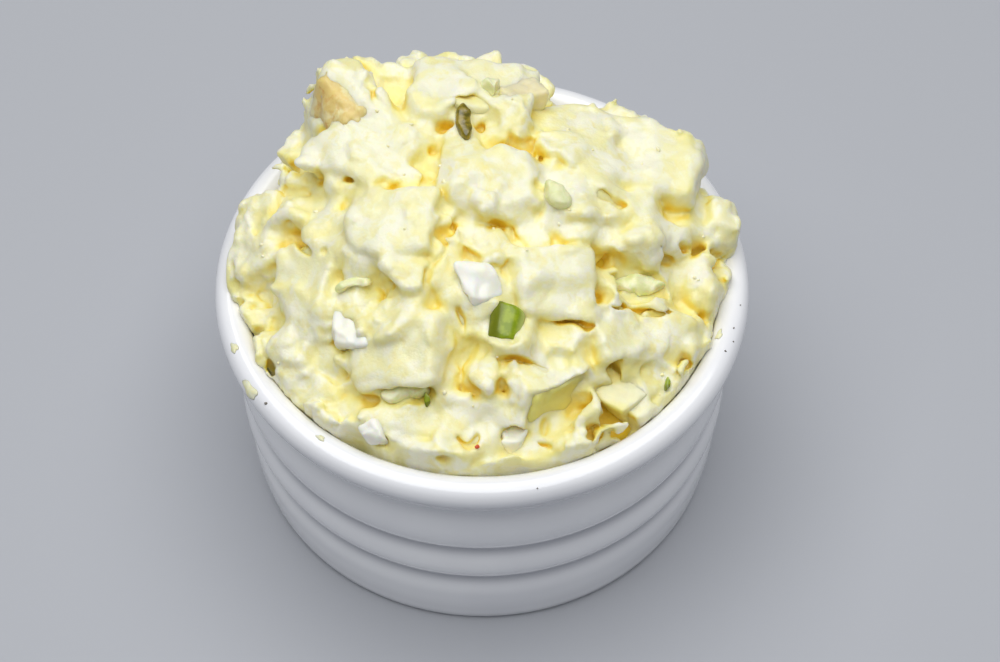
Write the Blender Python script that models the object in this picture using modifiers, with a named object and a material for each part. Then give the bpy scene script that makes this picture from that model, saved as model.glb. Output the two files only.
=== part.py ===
"""A potato salad heaped in a small white ramekin.

Two solids, a hair's gap apart: the turned ramekin, and the salad. The salad is one solid, because
it is a heap of many small things: a core fills the bowl and domes over its rim, and the diced
potato, egg white, celery, gherkin and lumps of dressing that show are fused onto it.

Sizes below are in millimetres, as a cook or a potter would give them, and MM turns them into
Blender's metres. +X is the right of the heap, +Y its back, and the ramekin stands on Z = 0.
"""

import math
import random
from collections import namedtuple

import bmesh
import bpy
from mathutils import Euler, Matrix, Vector, noise

MM = 0.001

# The ramekin's driving sizes
RIM_RADIUS = 45.0
RAMEKIN_HEIGHT = 45.5
FLOOR_THICKNESS = 6.0
FOOT_RADIUS = 40.4
FOOT_RING_WIDTH = 4.6
FOOT_RECESS = 1.2
TURNING_STEPS = 72

# The inside of the bowl, from the middle of its floor to the lip, as radius and height
INNER_WALL = [
    (0.0, FLOOR_THICKNESS),
    (32.0, FLOOR_THICKNESS),
    (35.6, 7.2),
    (37.6, 10.5),
    (39.6, 36.0),
    (40.2, 42.0),
]

# The rolled rim, from the lip over the top and under the roll
RIM_ROLL = [
    (41.2, 44.6),
    (42.6, RAMEKIN_HEIGHT),
    (44.1, 45.0),
    (RIM_RADIUS, 43.2),
    (44.9, 40.6),
    (43.9, 38.6),
    (42.6, 37.4),
]

# Three bands parted by two soft grooves, each band a little narrower than the one above
BANDS = [
    (42.5, 34.5),
    (42.3, 25.0),
    (41.6, 23.8),
    (42.1, 22.6),
    (41.9, 15.8),
    (41.2, 14.6),
    (41.7, 13.4),
    (41.1, 4.0),
    (40.9, 0.9),
]

# The foot ring that the ramekin stands on, and the shallow recess inside it
FOOT = [
    (FOOT_RADIUS, 0.0),
    (FOOT_RADIUS - FOOT_RING_WIDTH, 0.0),
    (FOOT_RADIUS - FOOT_RING_WIDTH - 0.8, FOOT_RECESS),
    (0.0, FOOT_RECESS),
]

# The heap's driving sizes. It starts level with the lip all round and is highest over the apex
SALAD_GAP = 0.4
LIP_RADIUS = 41.0
LIP_HEIGHT = 45.0
APEX_X = -6.0
APEX_Y = 13.0
HEAP_RISE = 20.0
HEAP_SHOULDER = 2.4
FRONT_FALL = 1.45
BACK_FALL = 0.75

# The core under the pieces: how far it stays below the heap's surface and off the bowl's wall
CORE_SINK = 2.0
CORE_GAP = 0.9
CORE_BUMP_HEIGHT = 1.6
CORE_BUMP_SPREAD = 7.0
CORE_COLUMNS = 36
CORE_DOME_RINGS = 8

# Edges shorter than this are closed up after fusing
SLIVER = 0.001

# Where the heap stands higher or lower than a plain dome: place, spread and height
Swell = namedtuple("Swell", "x y spread height")
SWELLS = [
    Swell(-28.0, 24.0, 9.0, 4.5),
    Swell(-3.0, 30.0, 10.0, 2.0),
    Swell(19.0, 32.0, 8.0, -6.0),
    Swell(32.0, 17.0, 8.0, 3.5),
]

# A diced piece: the place of its middle, its size, and how it lies, in degrees about Z, X and Y
Piece = namedtuple("Piece", "name x y z width depth height turn lean roll")

# The potato that shows from the front, from the back of the heap to its front
SHOWN_POTATO = [
    Piece("back_slab", -2.0, 21.5, 62.0, 23, 14, 12, -4, -10, 9),
    Piece("tan_face", 6.5, 23.5, 58.5, 12, 11, 12, 20, -15, 24),
    Piece("skin_on", -24.5, 20.5, 59.5, 10, 13, 15, 28, -8, -22),
    Piece("left_top", -17.5, 13.0, 60.0, 15, 13, 13, 38, 10, -10),
    Piece("right_back", 13.5, 15.5, 58.0, 12, 12, 11, 24, -8, 18),
    Piece("right_slab", 26.5, 13.0, 55.5, 20, 15, 11, -14, 12, 20),
    Piece("centre_back", 2.0, 4.0, 60.5, 14, 12, 12, 4, 8, 5),
    Piece("right_centre", 16.0, 2.0, 57.0, 13, 12, 11, -18, 10, 18),
    Piece("right_mid", 25.5, 1.0, 53.0, 9, 10, 12, 24, 14, 26),
    Piece("far_right", 34.5, 6.0, 47.5, 9, 10, 12, 10, 8, 32),
    Piece("overhang", 40.0, 7.0, 48.5, 7, 8, 9, -8, 4, 18),
    Piece("left_centre", -13.5, -2.0, 59.0, 15, 13, 14, -12, 20, -10),
    Piece("left_rim", -34.5, 3.5, 48.5, 10, 15, 12, 6, 8, -40),
    Piece("left_mid", -26.5, -8.0, 50.5, 11, 13, 12, -24, 24, -30),
    Piece("left_front", -29.5, -17.0, 45.0, 10, 11, 10, 30, 24, -28),
    Piece("centre", 11.0, -11.5, 55.5, 14, 12, 12, 6, 26, 14),
    Piece("mid_front", -1.5, -14.5, 55.0, 11, 10, 11, 22, 30, 0),
    Piece("left_low", -12.5, -20.5, 51.0, 17, 12, 13, -8, 32, -14),
    Piece("right_front", 19.5, -17.5, 49.0, 10, 10, 11, 30, 24, 22),
    Piece("right_edge", 28.0, -14.5, 46.5, 10, 10, 10, -20, 21, 28),
    Piece("wedge", 23.5, -26.5, 43.5, 13, 9, 8, -32, 24, 16),
    Piece("front_cut", 9.5, -29.0, 46.5, 18, 11, 12, 12, 24, 8),
    Piece("front_left", -13.5, -31.5, 44.0, 12, 9, 10, 16, 28, -10),
    Piece("front_mid", -3.5, -32.5, 44.5, 12, 8, 10, -10, 28, 0),
]

# Potato on the back and the far sides, as rings: reach from the middle, how many, size of a die
HIDDEN_RINGS = [(35.5, 17, 12.0), (26.0, 13, 13.0)]
DICE_CLEARANCE = 9.8
HIDDEN_DEPTH = 0.32

# How much of a die's shortest side its worn edges take, and how unequal its corners are
WORN_EDGE = 0.16
CORNER_LEAST = 0.84
CORNER_MOST = 1.06

# The small things that show: egg white, gherkin, green onion and celery
EGG_WHITE = [
    Piece("egg_centre", -0.5, -16.0, 60.0, 7, 6, 5, 20, 36, 0),
    Piece("egg_left", -21.0, -20.0, 53.5, 7, 5, 5, -10, 32, -25),
    Piece("egg_front", -17.0, -33.0, 46.5, 4, 4, 4, 10, 27, -14),
    Piece("egg_low", 5.0, -36.5, 46.5, 6, 4, 4, 25, 24, 6),
]
GHERKIN = [
    Piece("gherkin_back", -2.5, 14.5, 66.0, 3.4, 7.5, 4, -12, 14, 4),
    Piece("gherkin_side", 36.5, 12.0, 51.0, 5, 3, 4, 30, 0, 20),
]
GREEN_ONION = [Piece("onion_front", 4.5, -22.5, 56.0, 5.4, 7.0, 3.4, -14, 34, 8)]
CELERY = [
    Piece("celery_rod", 11.5, 0.5, 63.0, 9, 3, 4, -48, 12, 10),
    Piece("celery_right", 25.5, -10.5, 54.5, 14, 4, 5, 4, 40, 22),
    Piece("celery_front", -12.0, -30.5, 50.5, 10, 3, 5, 6, 32, -10),
    Piece("celery_back", 2.0, 20.5, 67.5, 5, 2, 4, 12, 0, 10),
]

# Lumps of mashed yolk and dressing, spread over the heap by the golden angle
LUMP_COUNT = 78
LUMP_REACH = 37.0
LUMP_SMALLEST = 2.4
LUMP_LARGEST = 4.8
LUMP_DEPTH = 0.35
GOLDEN_ANGLE = math.pi * (3 - math.sqrt(5))

# Lumps along the lip, which hide it but for a few gaps, given as degrees round from the right
LIP_LUMPS = 30
LIP_LUMP_REACH = 39.6
LIP_LUMP_SMALLEST = 2.6
LIP_LUMP_LARGEST = 4.0
LIP_GAPS = [(52, 80), (208, 216), (258, 266), (308, 320)]

GLAZE = ("white_glaze", (0.86, 0.87, 0.89), 0.12)
DRESSING = ("dressing", (0.93, 0.87, 0.56), 0.45)
POTATO = ("potato", (0.91, 0.87, 0.62), 0.5)
EGG = ("egg_white", (0.95, 0.95, 0.91), 0.35)
PICKLE = ("gherkin", (0.30, 0.29, 0.04), 0.25)
ONION = ("green_onion", (0.36, 0.52, 0.08), 0.3)
CRISP = ("celery", (0.73, 0.77, 0.50), 0.3)


def material(kind):
    """The Principled material of one kind of stuff, made once."""
    name, colour, roughness = kind
    found = bpy.data.materials.get(name)
    if found:
        return found
    made = bpy.data.materials.new(name)
    made.use_nodes = True
    shader = made.node_tree.nodes["Principled BSDF"]
    shader.inputs["Base Color"].default_value = (*colour, 1.0)
    shader.inputs["Roughness"].default_value = roughness
    shader.inputs["Metallic"].default_value = 0.0
    return made


def clear_scene():
    for old in list(bpy.data.objects):
        bpy.data.objects.remove(old, do_unlink=True)


def collection(name):
    made = bpy.data.collections.new(name)
    bpy.context.scene.collection.children.link(made)
    return made


def as_object(name, bm, kind, home):
    """A mesh object in metres from a bmesh in millimetres."""
    bmesh.ops.recalc_face_normals(bm, faces=bm.faces)
    bmesh.ops.scale(bm, vec=(MM, MM, MM), verts=bm.verts)
    mesh = bpy.data.meshes.new(name)
    bm.to_mesh(mesh)
    bm.free()
    mesh.materials.append(material(kind))
    made = bpy.data.objects.new(name, mesh)
    home.objects.link(made)
    return made


def turned(name, profile, kind, home, closed=False):
    """A solid turned from a profile of radius and height, which runs down its outer side."""
    mesh = bpy.data.meshes.new(name)
    points = [(r * MM, 0.0, z * MM) for r, z in profile]
    edges = [(i, i + 1) for i in range(len(points) - 1)]
    if closed:
        edges.append((len(points) - 1, 0))
    mesh.from_pydata(points, edges, [])
    mesh.materials.append(material(kind))
    made = bpy.data.objects.new(name, mesh)
    home.objects.link(made)
    screw = made.modifiers.new("turn", "SCREW")
    screw.axis = "Z"
    screw.steps = TURNING_STEPS
    screw.render_steps = TURNING_STEPS
    screw.use_merge_vertices = True
    screw.merge_threshold = 0.00001
    screw.use_smooth_shade = True
    return made


def share_of_way(x, y):
    """How far a place is on the way from the apex out to the lip: 0 at the apex and 1 at the lip."""
    dx, dy = x - APEX_X, y - APEX_Y
    squared = dx * dx + dy * dy + 1e-9
    along = APEX_X * dx + APEX_Y * dy
    apex_inside = APEX_X**2 + APEX_Y**2 - LIP_RADIUS**2
    to_lip = (-along + math.sqrt(along * along - squared * apex_inside)) / squared
    return min(1 / to_lip, 1.0)


def heap_height(x, y):
    """How high the heap stands at a place: it slopes gently to the front and falls off at the back."""
    backward = min(max((y + 25) / 50, 0.0), 1.0)
    backward = backward * backward * (3 - 2 * backward)
    fall = FRONT_FALL + (BACK_FALL - FRONT_FALL) * backward
    height = LIP_HEIGHT + HEAP_RISE * (1 - share_of_way(x, y) ** HEAP_SHOULDER) ** fall
    for swell in SWELLS:
        apart = math.dist((x, y), (swell.x, swell.y)) / swell.spread
        height += swell.height * math.exp(-apart * apart / 2)
    return height


def core_rings():
    """The core's outline as rings of radius and height: up inside the bowl, then over the dome."""
    wall = [(r - CORE_GAP, z) for r, z in INNER_WALL[1:]]
    wall[0] = (wall[0][0], FLOOR_THICKNESS + SALAD_GAP)
    lip_radius = wall[-1][0]
    dome = [lip_radius * math.cos(math.pi / 2 * i / CORE_DOME_RINGS) for i in range(1, CORE_DOME_RINGS)]
    return wall + [(radius, None) for radius in dome]


def core_point(radius, height, around):
    """A point of the core. On the dome, where no height is given, it follows the heap unevenly."""
    x, y = radius * math.cos(around), radius * math.sin(around)
    if height is None:
        bumps = CORE_BUMP_HEIGHT * noise.noise(Vector((x, y, 0.0)) / CORE_BUMP_SPREAD)
        height = heap_height(x, y) - CORE_SINK + bumps
    return (x, y, height)


def core(home):
    """The inside of the heap, from the floor of the bowl to just under the pieces that show."""
    bm = bmesh.new()
    rings = []
    for radius, height in core_rings():
        spread = [2 * math.pi * i / CORE_COLUMNS for i in range(CORE_COLUMNS)]
        rings.append([bm.verts.new(core_point(radius, height, around)) for around in spread])
    for low, high in zip(rings, rings[1:]):
        for i in range(CORE_COLUMNS):
            j = (i + 1) % CORE_COLUMNS
            bm.faces.new((low[i], low[j], high[j], high[i]))
    bottom = bm.verts.new((0.0, 0.0, FLOOR_THICKNESS + SALAD_GAP))
    top = bm.verts.new(core_point(0.0, None, 0.0))
    for i in range(CORE_COLUMNS):
        j = (i + 1) % CORE_COLUMNS
        bm.faces.new((bottom, rings[0][j], rings[0][i]))
        bm.faces.new((top, rings[-1][i], rings[-1][j]))
    bmesh.ops.triangulate(bm, faces=bm.faces)
    return as_object("core", bm, DRESSING, home)


def placed(bm, piece):
    """Turns a shape made at the origin to how the piece lies, and moves it to its place."""
    spin = Euler((math.radians(piece.lean), math.radians(piece.roll), math.radians(piece.turn)), "XYZ")
    move = Matrix.Translation((piece.x, piece.y, piece.z)) @ spin.to_matrix().to_4x4()
    bmesh.ops.transform(bm, matrix=move, verts=bm.verts)


def die(piece, kind, home):
    """A knife-cut block with worn edges, no two sides quite square to each other."""
    draw = random.Random(piece.name)
    bm = bmesh.new()
    bmesh.ops.create_cube(bm, size=1.0)
    for vert in bm.verts:
        for axis in range(3):
            vert.co[axis] *= draw.uniform(CORNER_LEAST, CORNER_MOST)
    bmesh.ops.scale(bm, vec=(piece.width, piece.depth, piece.height), verts=bm.verts)
    worn = WORN_EDGE * min(piece.width, piece.depth, piece.height)
    bmesh.ops.bevel(bm, geom=list(bm.edges), offset=worn, segments=1, affect="EDGES", clamp_overlap=True)
    bmesh.ops.triangulate(bm, faces=bm.faces)
    placed(bm, piece)
    return as_object(piece.name, bm, kind, home)


def crescent(piece, kind, home, steps=8, squash=0.75):
    """A slice across a stalk: a C as wide as its width, with a wall of its depth, cut to its height."""
    bm = bmesh.new()
    outer, inner = piece.width / 2, piece.width / 2 - piece.depth
    drop = piece.depth * (1 - squash)
    spread = [math.pi * i / steps for i in range(steps + 1)]
    outline = [(outer * math.cos(a), squash * outer * math.sin(a)) for a in spread]
    outline += [(inner * math.cos(a), squash * inner * math.sin(a) - drop) for a in reversed(spread)]
    middle = squash * outer / 2
    base = bm.faces.new([bm.verts.new((x, y - middle, -piece.height / 2)) for x, y in outline])
    lifted = bmesh.ops.extrude_face_region(bm, geom=[base])["geom"]
    top = [item for item in lifted if isinstance(item, bmesh.types.BMVert)]
    bmesh.ops.translate(bm, verts=top, vec=(0, 0, piece.height))
    bmesh.ops.triangulate(bm, faces=bm.faces)
    placed(bm, piece)
    return as_object(piece.name, bm, kind, home)


def lump(name, place, radius, draw, home):
    """A soft lump of yolk and dressing, wider than it is high and uneven all round."""
    bm = bmesh.new()
    bmesh.ops.create_icosphere(bm, subdivisions=1, radius=radius)
    stretch = Vector((draw.uniform(0.9, 1.5), draw.uniform(0.8, 1.2), draw.uniform(0.6, 0.9)))
    turn = Matrix.Rotation(draw.uniform(0, math.pi), 3, "Z")
    for vert in bm.verts:
        uneven = 1 + 0.3 * noise.noise(vert.co / 2.0 + place)
        vert.co = turn @ Vector([v * s * uneven for v, s in zip(vert.co, stretch)])
        vert.co += place
    return as_object(name, bm, DRESSING, home)


def hidden_potato():
    """Dice for the sides that the shown ones leave empty, in rings with a seeded jitter."""
    draw = random.Random(11)
    found = []
    for ring, (reach, count, size) in enumerate(HIDDEN_RINGS):
        for i in range(count):
            around = 2 * math.pi * (i + draw.uniform(-0.2, 0.2)) / count + ring
            far = reach + draw.uniform(-1.5, 1.5)
            x, y = far * math.cos(around), far * math.sin(around)
            z = heap_height(x, y) - HIDDEN_DEPTH * size
            sides = [size * draw.uniform(0.8, 1.2) for _ in range(3)]
            tilt = [draw.uniform(-30, 30) for _ in range(2)]
            near = [p for p in SHOWN_POTATO + found if math.dist((p.x, p.y), (x, y)) < DICE_CLEARANCE]
            if not near:
                found.append(Piece(f"hidden_{ring}_{i}", x, y, z, *sides, math.degrees(around), *tilt))
    return found


def lumps(home):
    """Lumps over the dome, each sunk by about half into the heap."""
    draw = random.Random(5)
    for i in range(LUMP_COUNT):
        reach = LUMP_REACH * math.sqrt((i + 0.5) / LUMP_COUNT)
        around = GOLDEN_ANGLE * i
        x, y = reach * math.cos(around), reach * math.sin(around)
        radius = draw.uniform(LUMP_SMALLEST, LUMP_LARGEST)
        place = Vector((x, y, heap_height(x, y) - LUMP_DEPTH * radius))
        lump(f"lump_{i}", place, radius, draw, home)


def lip_lumps(home):
    """Lumps that lie against the lip and a little over it."""
    draw = random.Random(8)
    for i in range(LIP_LUMPS):
        degrees = 360 * (i + draw.uniform(-0.25, 0.25)) / LIP_LUMPS
        reach = LIP_LUMP_REACH + draw.uniform(-1.0, 0.8)
        radius = draw.uniform(LIP_LUMP_SMALLEST, LIP_LUMP_LARGEST)
        height = LIP_HEIGHT + draw.uniform(-0.6, 1.2)
        if any(start < degrees % 360 < end for start, end in LIP_GAPS):
            continue
        around = math.radians(degrees)
        place = Vector((reach * math.cos(around), reach * math.sin(around), height))
        lump(f"lip_lump_{i}", place, radius, draw, home)


def keep_largest(obj):
    """Drops the loose scraps and the sealed hollows that fusing leaves, keeping the outer skin."""
    bm = bmesh.new()
    bm.from_mesh(obj.data)
    bmesh.ops.triangulate(bm, faces=bm.faces)
    bmesh.ops.dissolve_degenerate(bm, dist=SLIVER * MM, edges=bm.edges)
    islands, seen = [], set()
    for start in bm.faces:
        if start in seen:
            continue
        island, edge = [], [start]
        seen.add(start)
        while edge:
            face = edge.pop()
            island.append(face)
            for side in face.edges:
                for other in side.link_faces:
                    if other not in seen:
                        seen.add(other)
                        edge.append(other)
        islands.append(island)
    islands.sort(key=lambda faces: -sum(face.calc_area() for face in faces))
    loose = [face for island in islands[1:] for face in island]
    bmesh.ops.delete(bm, geom=loose, context="FACES")
    bm.to_mesh(obj.data)
    bm.free()


def apply_all(obj):
    """Replaces an object's mesh by the one that its modifiers make."""
    bpy.context.view_layer.update()
    evaluated = obj.evaluated_get(bpy.context.evaluated_depsgraph_get())
    obj.data = bpy.data.meshes.new_from_object(evaluated)
    obj.modifiers.clear()


def ramekin_profile():
    """The whole outline of the ramekin, from the middle of its floor over the rim to the foot."""
    return INNER_WALL + RIM_ROLL + BANDS + FOOT


def rim_keep_out(home):
    """The rim grown by the gap: what overhangs it is trimmed to lie just clear of it."""
    wall, over, side = INNER_WALL[-2:] + RIM_ROLL[:1], RIM_ROLL[1:3], RIM_ROLL[3]
    profile = [(r - SALAD_GAP, z) for r, z in wall]
    profile += [(r, z + SALAD_GAP) for r, z in over]
    profile += [(side[0] + SALAD_GAP, side[1]), (side[0] + SALAD_GAP, wall[0][1])]
    made = turned("rim_keep_out", profile, GLAZE, home, closed=True)
    made.hide_render = True
    made.display_type = "WIRE"
    return made


def build_ramekin(home):
    return turned("ramekin", ramekin_profile(), GLAZE, home)


def build_salad(home, helpers):
    """Fuses the core and all that shows on it into one solid, then trims it clear of the rim."""
    pieces = collection("salad_pieces")
    diced = [
        (SHOWN_POTATO + hidden_potato(), POTATO),
        (EGG_WHITE, EGG),
        (GHERKIN, PICKLE),
        (GREEN_ONION, ONION),
    ]
    for named, kind in diced:
        for piece in named:
            die(piece, kind, pieces)
    for piece in CELERY:
        crescent(piece, CRISP, pieces)
    lumps(pieces)
    lip_lumps(pieces)

    salad = core(home)
    salad.name = "potato_salad"
    fuse = salad.modifiers.new("fuse", "BOOLEAN")
    fuse.operation = "UNION"
    fuse.operand_type = "COLLECTION"
    fuse.collection = pieces
    fuse.solver = "MANIFOLD"
    fuse.material_mode = "TRANSFER"
    trim = salad.modifiers.new("trim", "BOOLEAN")
    trim.operation = "DIFFERENCE"
    trim.object = rim_keep_out(helpers)
    trim.solver = "MANIFOLD"
    apply_all(salad)
    keep_largest(salad)
    for helper in list(pieces.objects) + list(helpers.objects):
        bpy.data.objects.remove(helper, do_unlink=True)
    return salad


def main():
    clear_scene()
    dish = collection("potato_salad_ramekin")
    helpers = collection("cutters")
    build_ramekin(dish)
    build_salad(dish, helpers)


main()
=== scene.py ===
# %% [markdown]
# # A potato salad in a small white ramekin
#
# The object is a turned, glazed dish heaped with a creamy salad of diced potato, egg white, celery
# and gherkin. The solid model gives the dish and one plain heap. This lesson keeps their places and
# sizes and makes what the eye sees: a smooth glaze, cut potato with worn edges, and a thick dressing
# that coats it, thins out over bare faces and gathers in the hollows.
#
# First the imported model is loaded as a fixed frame. Everything is made around it.

# %% Load the frame
import math
import random
from collections import namedtuple

import bmesh
import bpy
import numpy as np
from mathutils import Euler, Matrix, Vector


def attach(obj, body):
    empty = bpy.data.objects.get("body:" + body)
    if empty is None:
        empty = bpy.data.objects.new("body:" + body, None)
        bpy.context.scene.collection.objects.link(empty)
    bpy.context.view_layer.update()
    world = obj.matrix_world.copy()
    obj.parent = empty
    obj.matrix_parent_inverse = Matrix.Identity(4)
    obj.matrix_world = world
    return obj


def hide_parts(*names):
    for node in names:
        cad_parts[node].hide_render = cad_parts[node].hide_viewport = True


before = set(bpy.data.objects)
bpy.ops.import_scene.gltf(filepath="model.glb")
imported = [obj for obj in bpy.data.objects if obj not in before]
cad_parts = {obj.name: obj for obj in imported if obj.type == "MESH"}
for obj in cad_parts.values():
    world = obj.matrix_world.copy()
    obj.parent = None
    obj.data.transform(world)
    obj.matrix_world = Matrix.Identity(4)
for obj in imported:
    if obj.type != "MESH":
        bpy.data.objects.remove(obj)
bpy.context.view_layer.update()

MM = 0.001

# %% [markdown]
# ## The layout of the heap
#
# A heap in a bowl is level with the lip all round, rises to an apex behind the middle, slopes gently
# to the front and falls off at the back. One formula gives its height at any place, as it does in the
# solid model, with a few swells and dips where the real heap leaves the plain dome. All these sizes
# are in millimetres.

# %% Sizes of the dish and the heap
RIM_RADIUS = 45.0
RAMEKIN_HEIGHT = 45.5
FLOOR_THICKNESS = 6.0
LIP_RADIUS = 41.0
LIP_HEIGHT = 45.0
APEX_X, APEX_Y = -6.0, 13.0
HEAP_RISE = 20.0
HEAP_SHOULDER = 2.4
FRONT_FALL, BACK_FALL = 1.45, 0.75

Swell = namedtuple("Swell", "x y spread height")
SWELLS = [
    Swell(-28.0, 24.0, 9.0, 4.5),
    Swell(-3.0, 30.0, 10.0, 2.0),
    Swell(19.0, 32.0, 8.0, -6.0),
    Swell(32.0, 17.0, 8.0, 3.5),
    Swell(-35.0, 17.0, 4.5, -3.0),
    Swell(-15.0, 29.0, 4.0, -2.4),
]


def heap_height(x, y):
    """The heap's height at a place, or at many places at once."""
    dx, dy = x - APEX_X, y - APEX_Y
    squared = dx * dx + dy * dy + 1e-9
    along = APEX_X * dx + APEX_Y * dy
    apex_inside = APEX_X**2 + APEX_Y**2 - LIP_RADIUS**2
    to_lip = (-along + np.sqrt(along * along - squared * apex_inside)) / squared
    share = np.minimum(1 / to_lip, 1.0)
    backward = np.clip((y + 25) / 50, 0.0, 1.0)
    backward = backward * backward * (3 - 2 * backward)
    fall = FRONT_FALL + (BACK_FALL - FRONT_FALL) * backward
    height = LIP_HEIGHT + HEAP_RISE * (1 - share**HEAP_SHOULDER) ** fall
    for swell in SWELLS:
        apart = ((x - swell.x) ** 2 + (y - swell.y) ** 2) / swell.spread**2
        height = height + swell.height * np.exp(-apart / 2)
    return height


print("apex height:", round(float(heap_height(APEX_X, APEX_Y)), 1))

# %% [markdown]
# ## Which potato lies where
#
# Each die that shows has a name, the place of its middle, its size and how it lies, in degrees about
# Z, X and Y, at or near its place in the solid model. The last two columns are for the looks: how bare
# of dressing it is, from 0 to 1, and how its face looks. The back and the sides, which nobody has seen,
# get dice in two rings, drawn by the same seeded rule as in the solid model and set a little lower.

# %% Dice
Potato = namedtuple("Potato", "name x y z width depth height turn lean roll bare look")
SHOWN_POTATO = [
    Potato("back_slab", -3.6, 21.5, 61.9, 18.5, 14, 12, -4, -10, 6, 0.62, "plain"),
    Potato("tan_face", 6.0, 21.8, 62.3, 8, 8, 10, 20, -15, 14, 0.95, "tan"),
    Potato("skin_on", -23.0, 19.4, 59.4, 9, 14, 22, 30, -4, 12, 1.00, "skin"),
    Potato("crust", -21.4, 27.0, 60.8, 8, 7, 8, 15, 0, -8, 0.10, "plain"),
    Potato("left_top", -17.5, 13.0, 60.0, 15, 13, 13, 38, 10, -10, 0.42, "plain"),
    Potato("right_back", 13.5, 15.5, 58.0, 12, 12, 11, 24, -8, 18, 0.30, "plain"),
    Potato("right_slab", 28.0, 14.0, 55.6, 20, 14, 10, -12, 10, 0, 0.60, "plain"),
    Potato("centre_back", 2.0, 4.0, 60.5, 14, 12, 12, 4, 8, 5, 0.45, "plain"),
    Potato("right_centre", 16.0, 2.0, 57.0, 13, 12, 11, -18, 10, 18, 0.30, "plain"),
    Potato("right_mid", 25.5, 1.0, 53.0, 9, 10, 12, 24, 14, 26, 0.55, "plain"),
    Potato("far_right", 34.5, 6.0, 47.5, 9, 10, 12, 10, 8, 32, 0.50, "clear"),
    Potato("overhang", 40.0, 7.0, 48.5, 7, 8, 9, -8, 4, 18, 0.50, "plain"),
    Potato("left_centre", -13.5, -2.0, 59.0, 15, 13, 14, -12, 20, -10, 0.66, "clear"),
    Potato("left_rim", -34.5, 3.5, 48.5, 10, 15, 12, 6, 8, -40, 0.60, "clear"),
    Potato("left_mid", -26.5, -8.0, 50.5, 11, 13, 12, -24, 24, -30, 0.60, "clear"),
    Potato("left_front", -28.6, -16.6, 44.6, 10, 11, 10, 30, 24, -28, 0.20, "plain"),
    Potato("centre", 11.0, -11.5, 55.5, 14, 12, 12, 6, 26, 14, 0.45, "plain"),
    Potato("mid_front", -1.5, -14.5, 55.0, 11, 10, 11, 22, 30, 0, 0.25, "plain"),
    Potato("left_low", -12.5, -20.5, 51.0, 17, 12, 13, -8, 32, -14, 0.40, "plain"),
    Potato("right_front", 19.5, -17.5, 49.0, 10, 10, 11, 30, 24, 22, 0.30, "plain"),
    Potato("right_edge", 28.0, -14.5, 46.5, 10, 10, 10, -20, 21, 28, 0.30, "plain"),
    Potato("wedge", 23.5, -26.2, 43.6, 12.5, 5.5, 9, -33, 14, 14, 1.00, "wedge"),
    Potato("front_cut", 9.4, -24.9, 48.6, 12, 11, 11, 28, 4, 3, 1.00, "waxy"),
    Potato("front_low", 9.8, -32.6, 41.4, 14, 8, 8, 12, 22, 4, 0.15, "plain"),
    Potato("front_left", -13.5, -31.5, 44.0, 12, 9, 10, 16, 28, -10, 0.20, "plain"),
    Potato("front_mid", -3.5, -31.4, 44.0, 12, 8, 10, -10, 28, 0, 0.30, "plain"),
]
HIDDEN_RINGS = [(35.5, 17, 12.0), (26.0, 13, 13.0)]
DICE_CLEARANCE = 9.8
HIDDEN_DEPTH = 0.32
HIDDEN_LOWER = 1.5
HIDDEN_LOWEST = {(0, 2): 4.5, (0, 4): 3.2, (0, 5): 2.7, (1, 2): 2.6}


def hidden_potato():
    """Dice for the places that the shown ones leave empty."""
    draw = random.Random(11)
    found = []
    for ring, (reach, count, size) in enumerate(HIDDEN_RINGS):
        for i in range(count):
            around = 2 * math.pi * (i + draw.uniform(-0.2, 0.2)) / count + ring
            far = reach + draw.uniform(-1.5, 1.5)
            x, y = far * math.cos(around), far * math.sin(around)
            z = float(heap_height(x, y)) - HIDDEN_DEPTH * size
            sides = [size * draw.uniform(0.8, 1.2) for _ in range(3)]
            tilt = [draw.uniform(-30, 30) for _ in range(2)]
            near = [p for p in SHOWN_POTATO + found if math.dist((p.x, p.y), (x, y)) < DICE_CLEARANCE]
            if not near:
                name = f"hidden_{ring}_{i}"
                bare = random.Random(name).uniform(0.2, 0.7)
                z -= HIDDEN_LOWEST.get((ring, i), HIDDEN_LOWER)
                found.append(Potato(name, x, y, z, *sides, math.degrees(around), *tilt, bare, "plain"))
    return found


POTATO = SHOWN_POTATO + hidden_potato()
print("dice:", len(POTATO))

# %% [markdown]
# ## Unevenness
#
# Two kinds of unevenness do most of the work. Smooth noise blends random numbers that sit on a grid,
# and several sizes of it together make a rough surface. Clumps come from random points, one in each
# cell of a grid: the nearest point is the middle of a clump, and where two are equally near there is a
# crease. Each clump has a flat top of its own height and tilt, as torn potato mash has.

# %% Smooth noise
LATTICE_SIDE = 64
lattice_draw = np.random.default_rng(21)
LATTICE = lattice_draw.uniform(-1, 1, (LATTICE_SIDE,) * 3).astype(np.float32)
CLUMP_MIDDLES = lattice_draw.random((LATTICE_SIDE,) * 3 + (3,)).astype(np.float32)
CLUMP_TILTS = lattice_draw.uniform(-1, 1, (LATTICE_SIDE,) * 3 + (3,)).astype(np.float32)


def smooth_noise(points, size, shift=0.0):
    """Noise from -1 to 1 whose features are about size across."""
    place = points / np.float32(size) + np.float32(shift)
    cell = np.floor(place).astype(np.int32)
    part = place - cell
    part = part * part * (3 - 2 * part)
    low, high = cell % LATTICE_SIDE, (cell + 1) % LATTICE_SIDE
    u, v, w = part[:, 0], part[:, 1], part[:, 2]
    total = 0.0
    for i, x in ((1 - u, low[:, 0]), (u, high[:, 0])):
        for j, y in ((1 - v, low[:, 1]), (v, high[:, 1])):
            for k, z in ((1 - w, low[:, 2]), (w, high[:, 2])):
                total = total + i * j * k * LATTICE[x, y, z]
    return total


def rough_noise(points, size, layers=3, shift=0.0):
    """Smooth noise in layers, each half as large and half as strong as the one before."""
    total = 0.0
    for layer in range(layers):
        total = total + smooth_noise(points, size / 2**layer, shift + 7.3 * layer) / 2**layer
    return total


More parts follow.
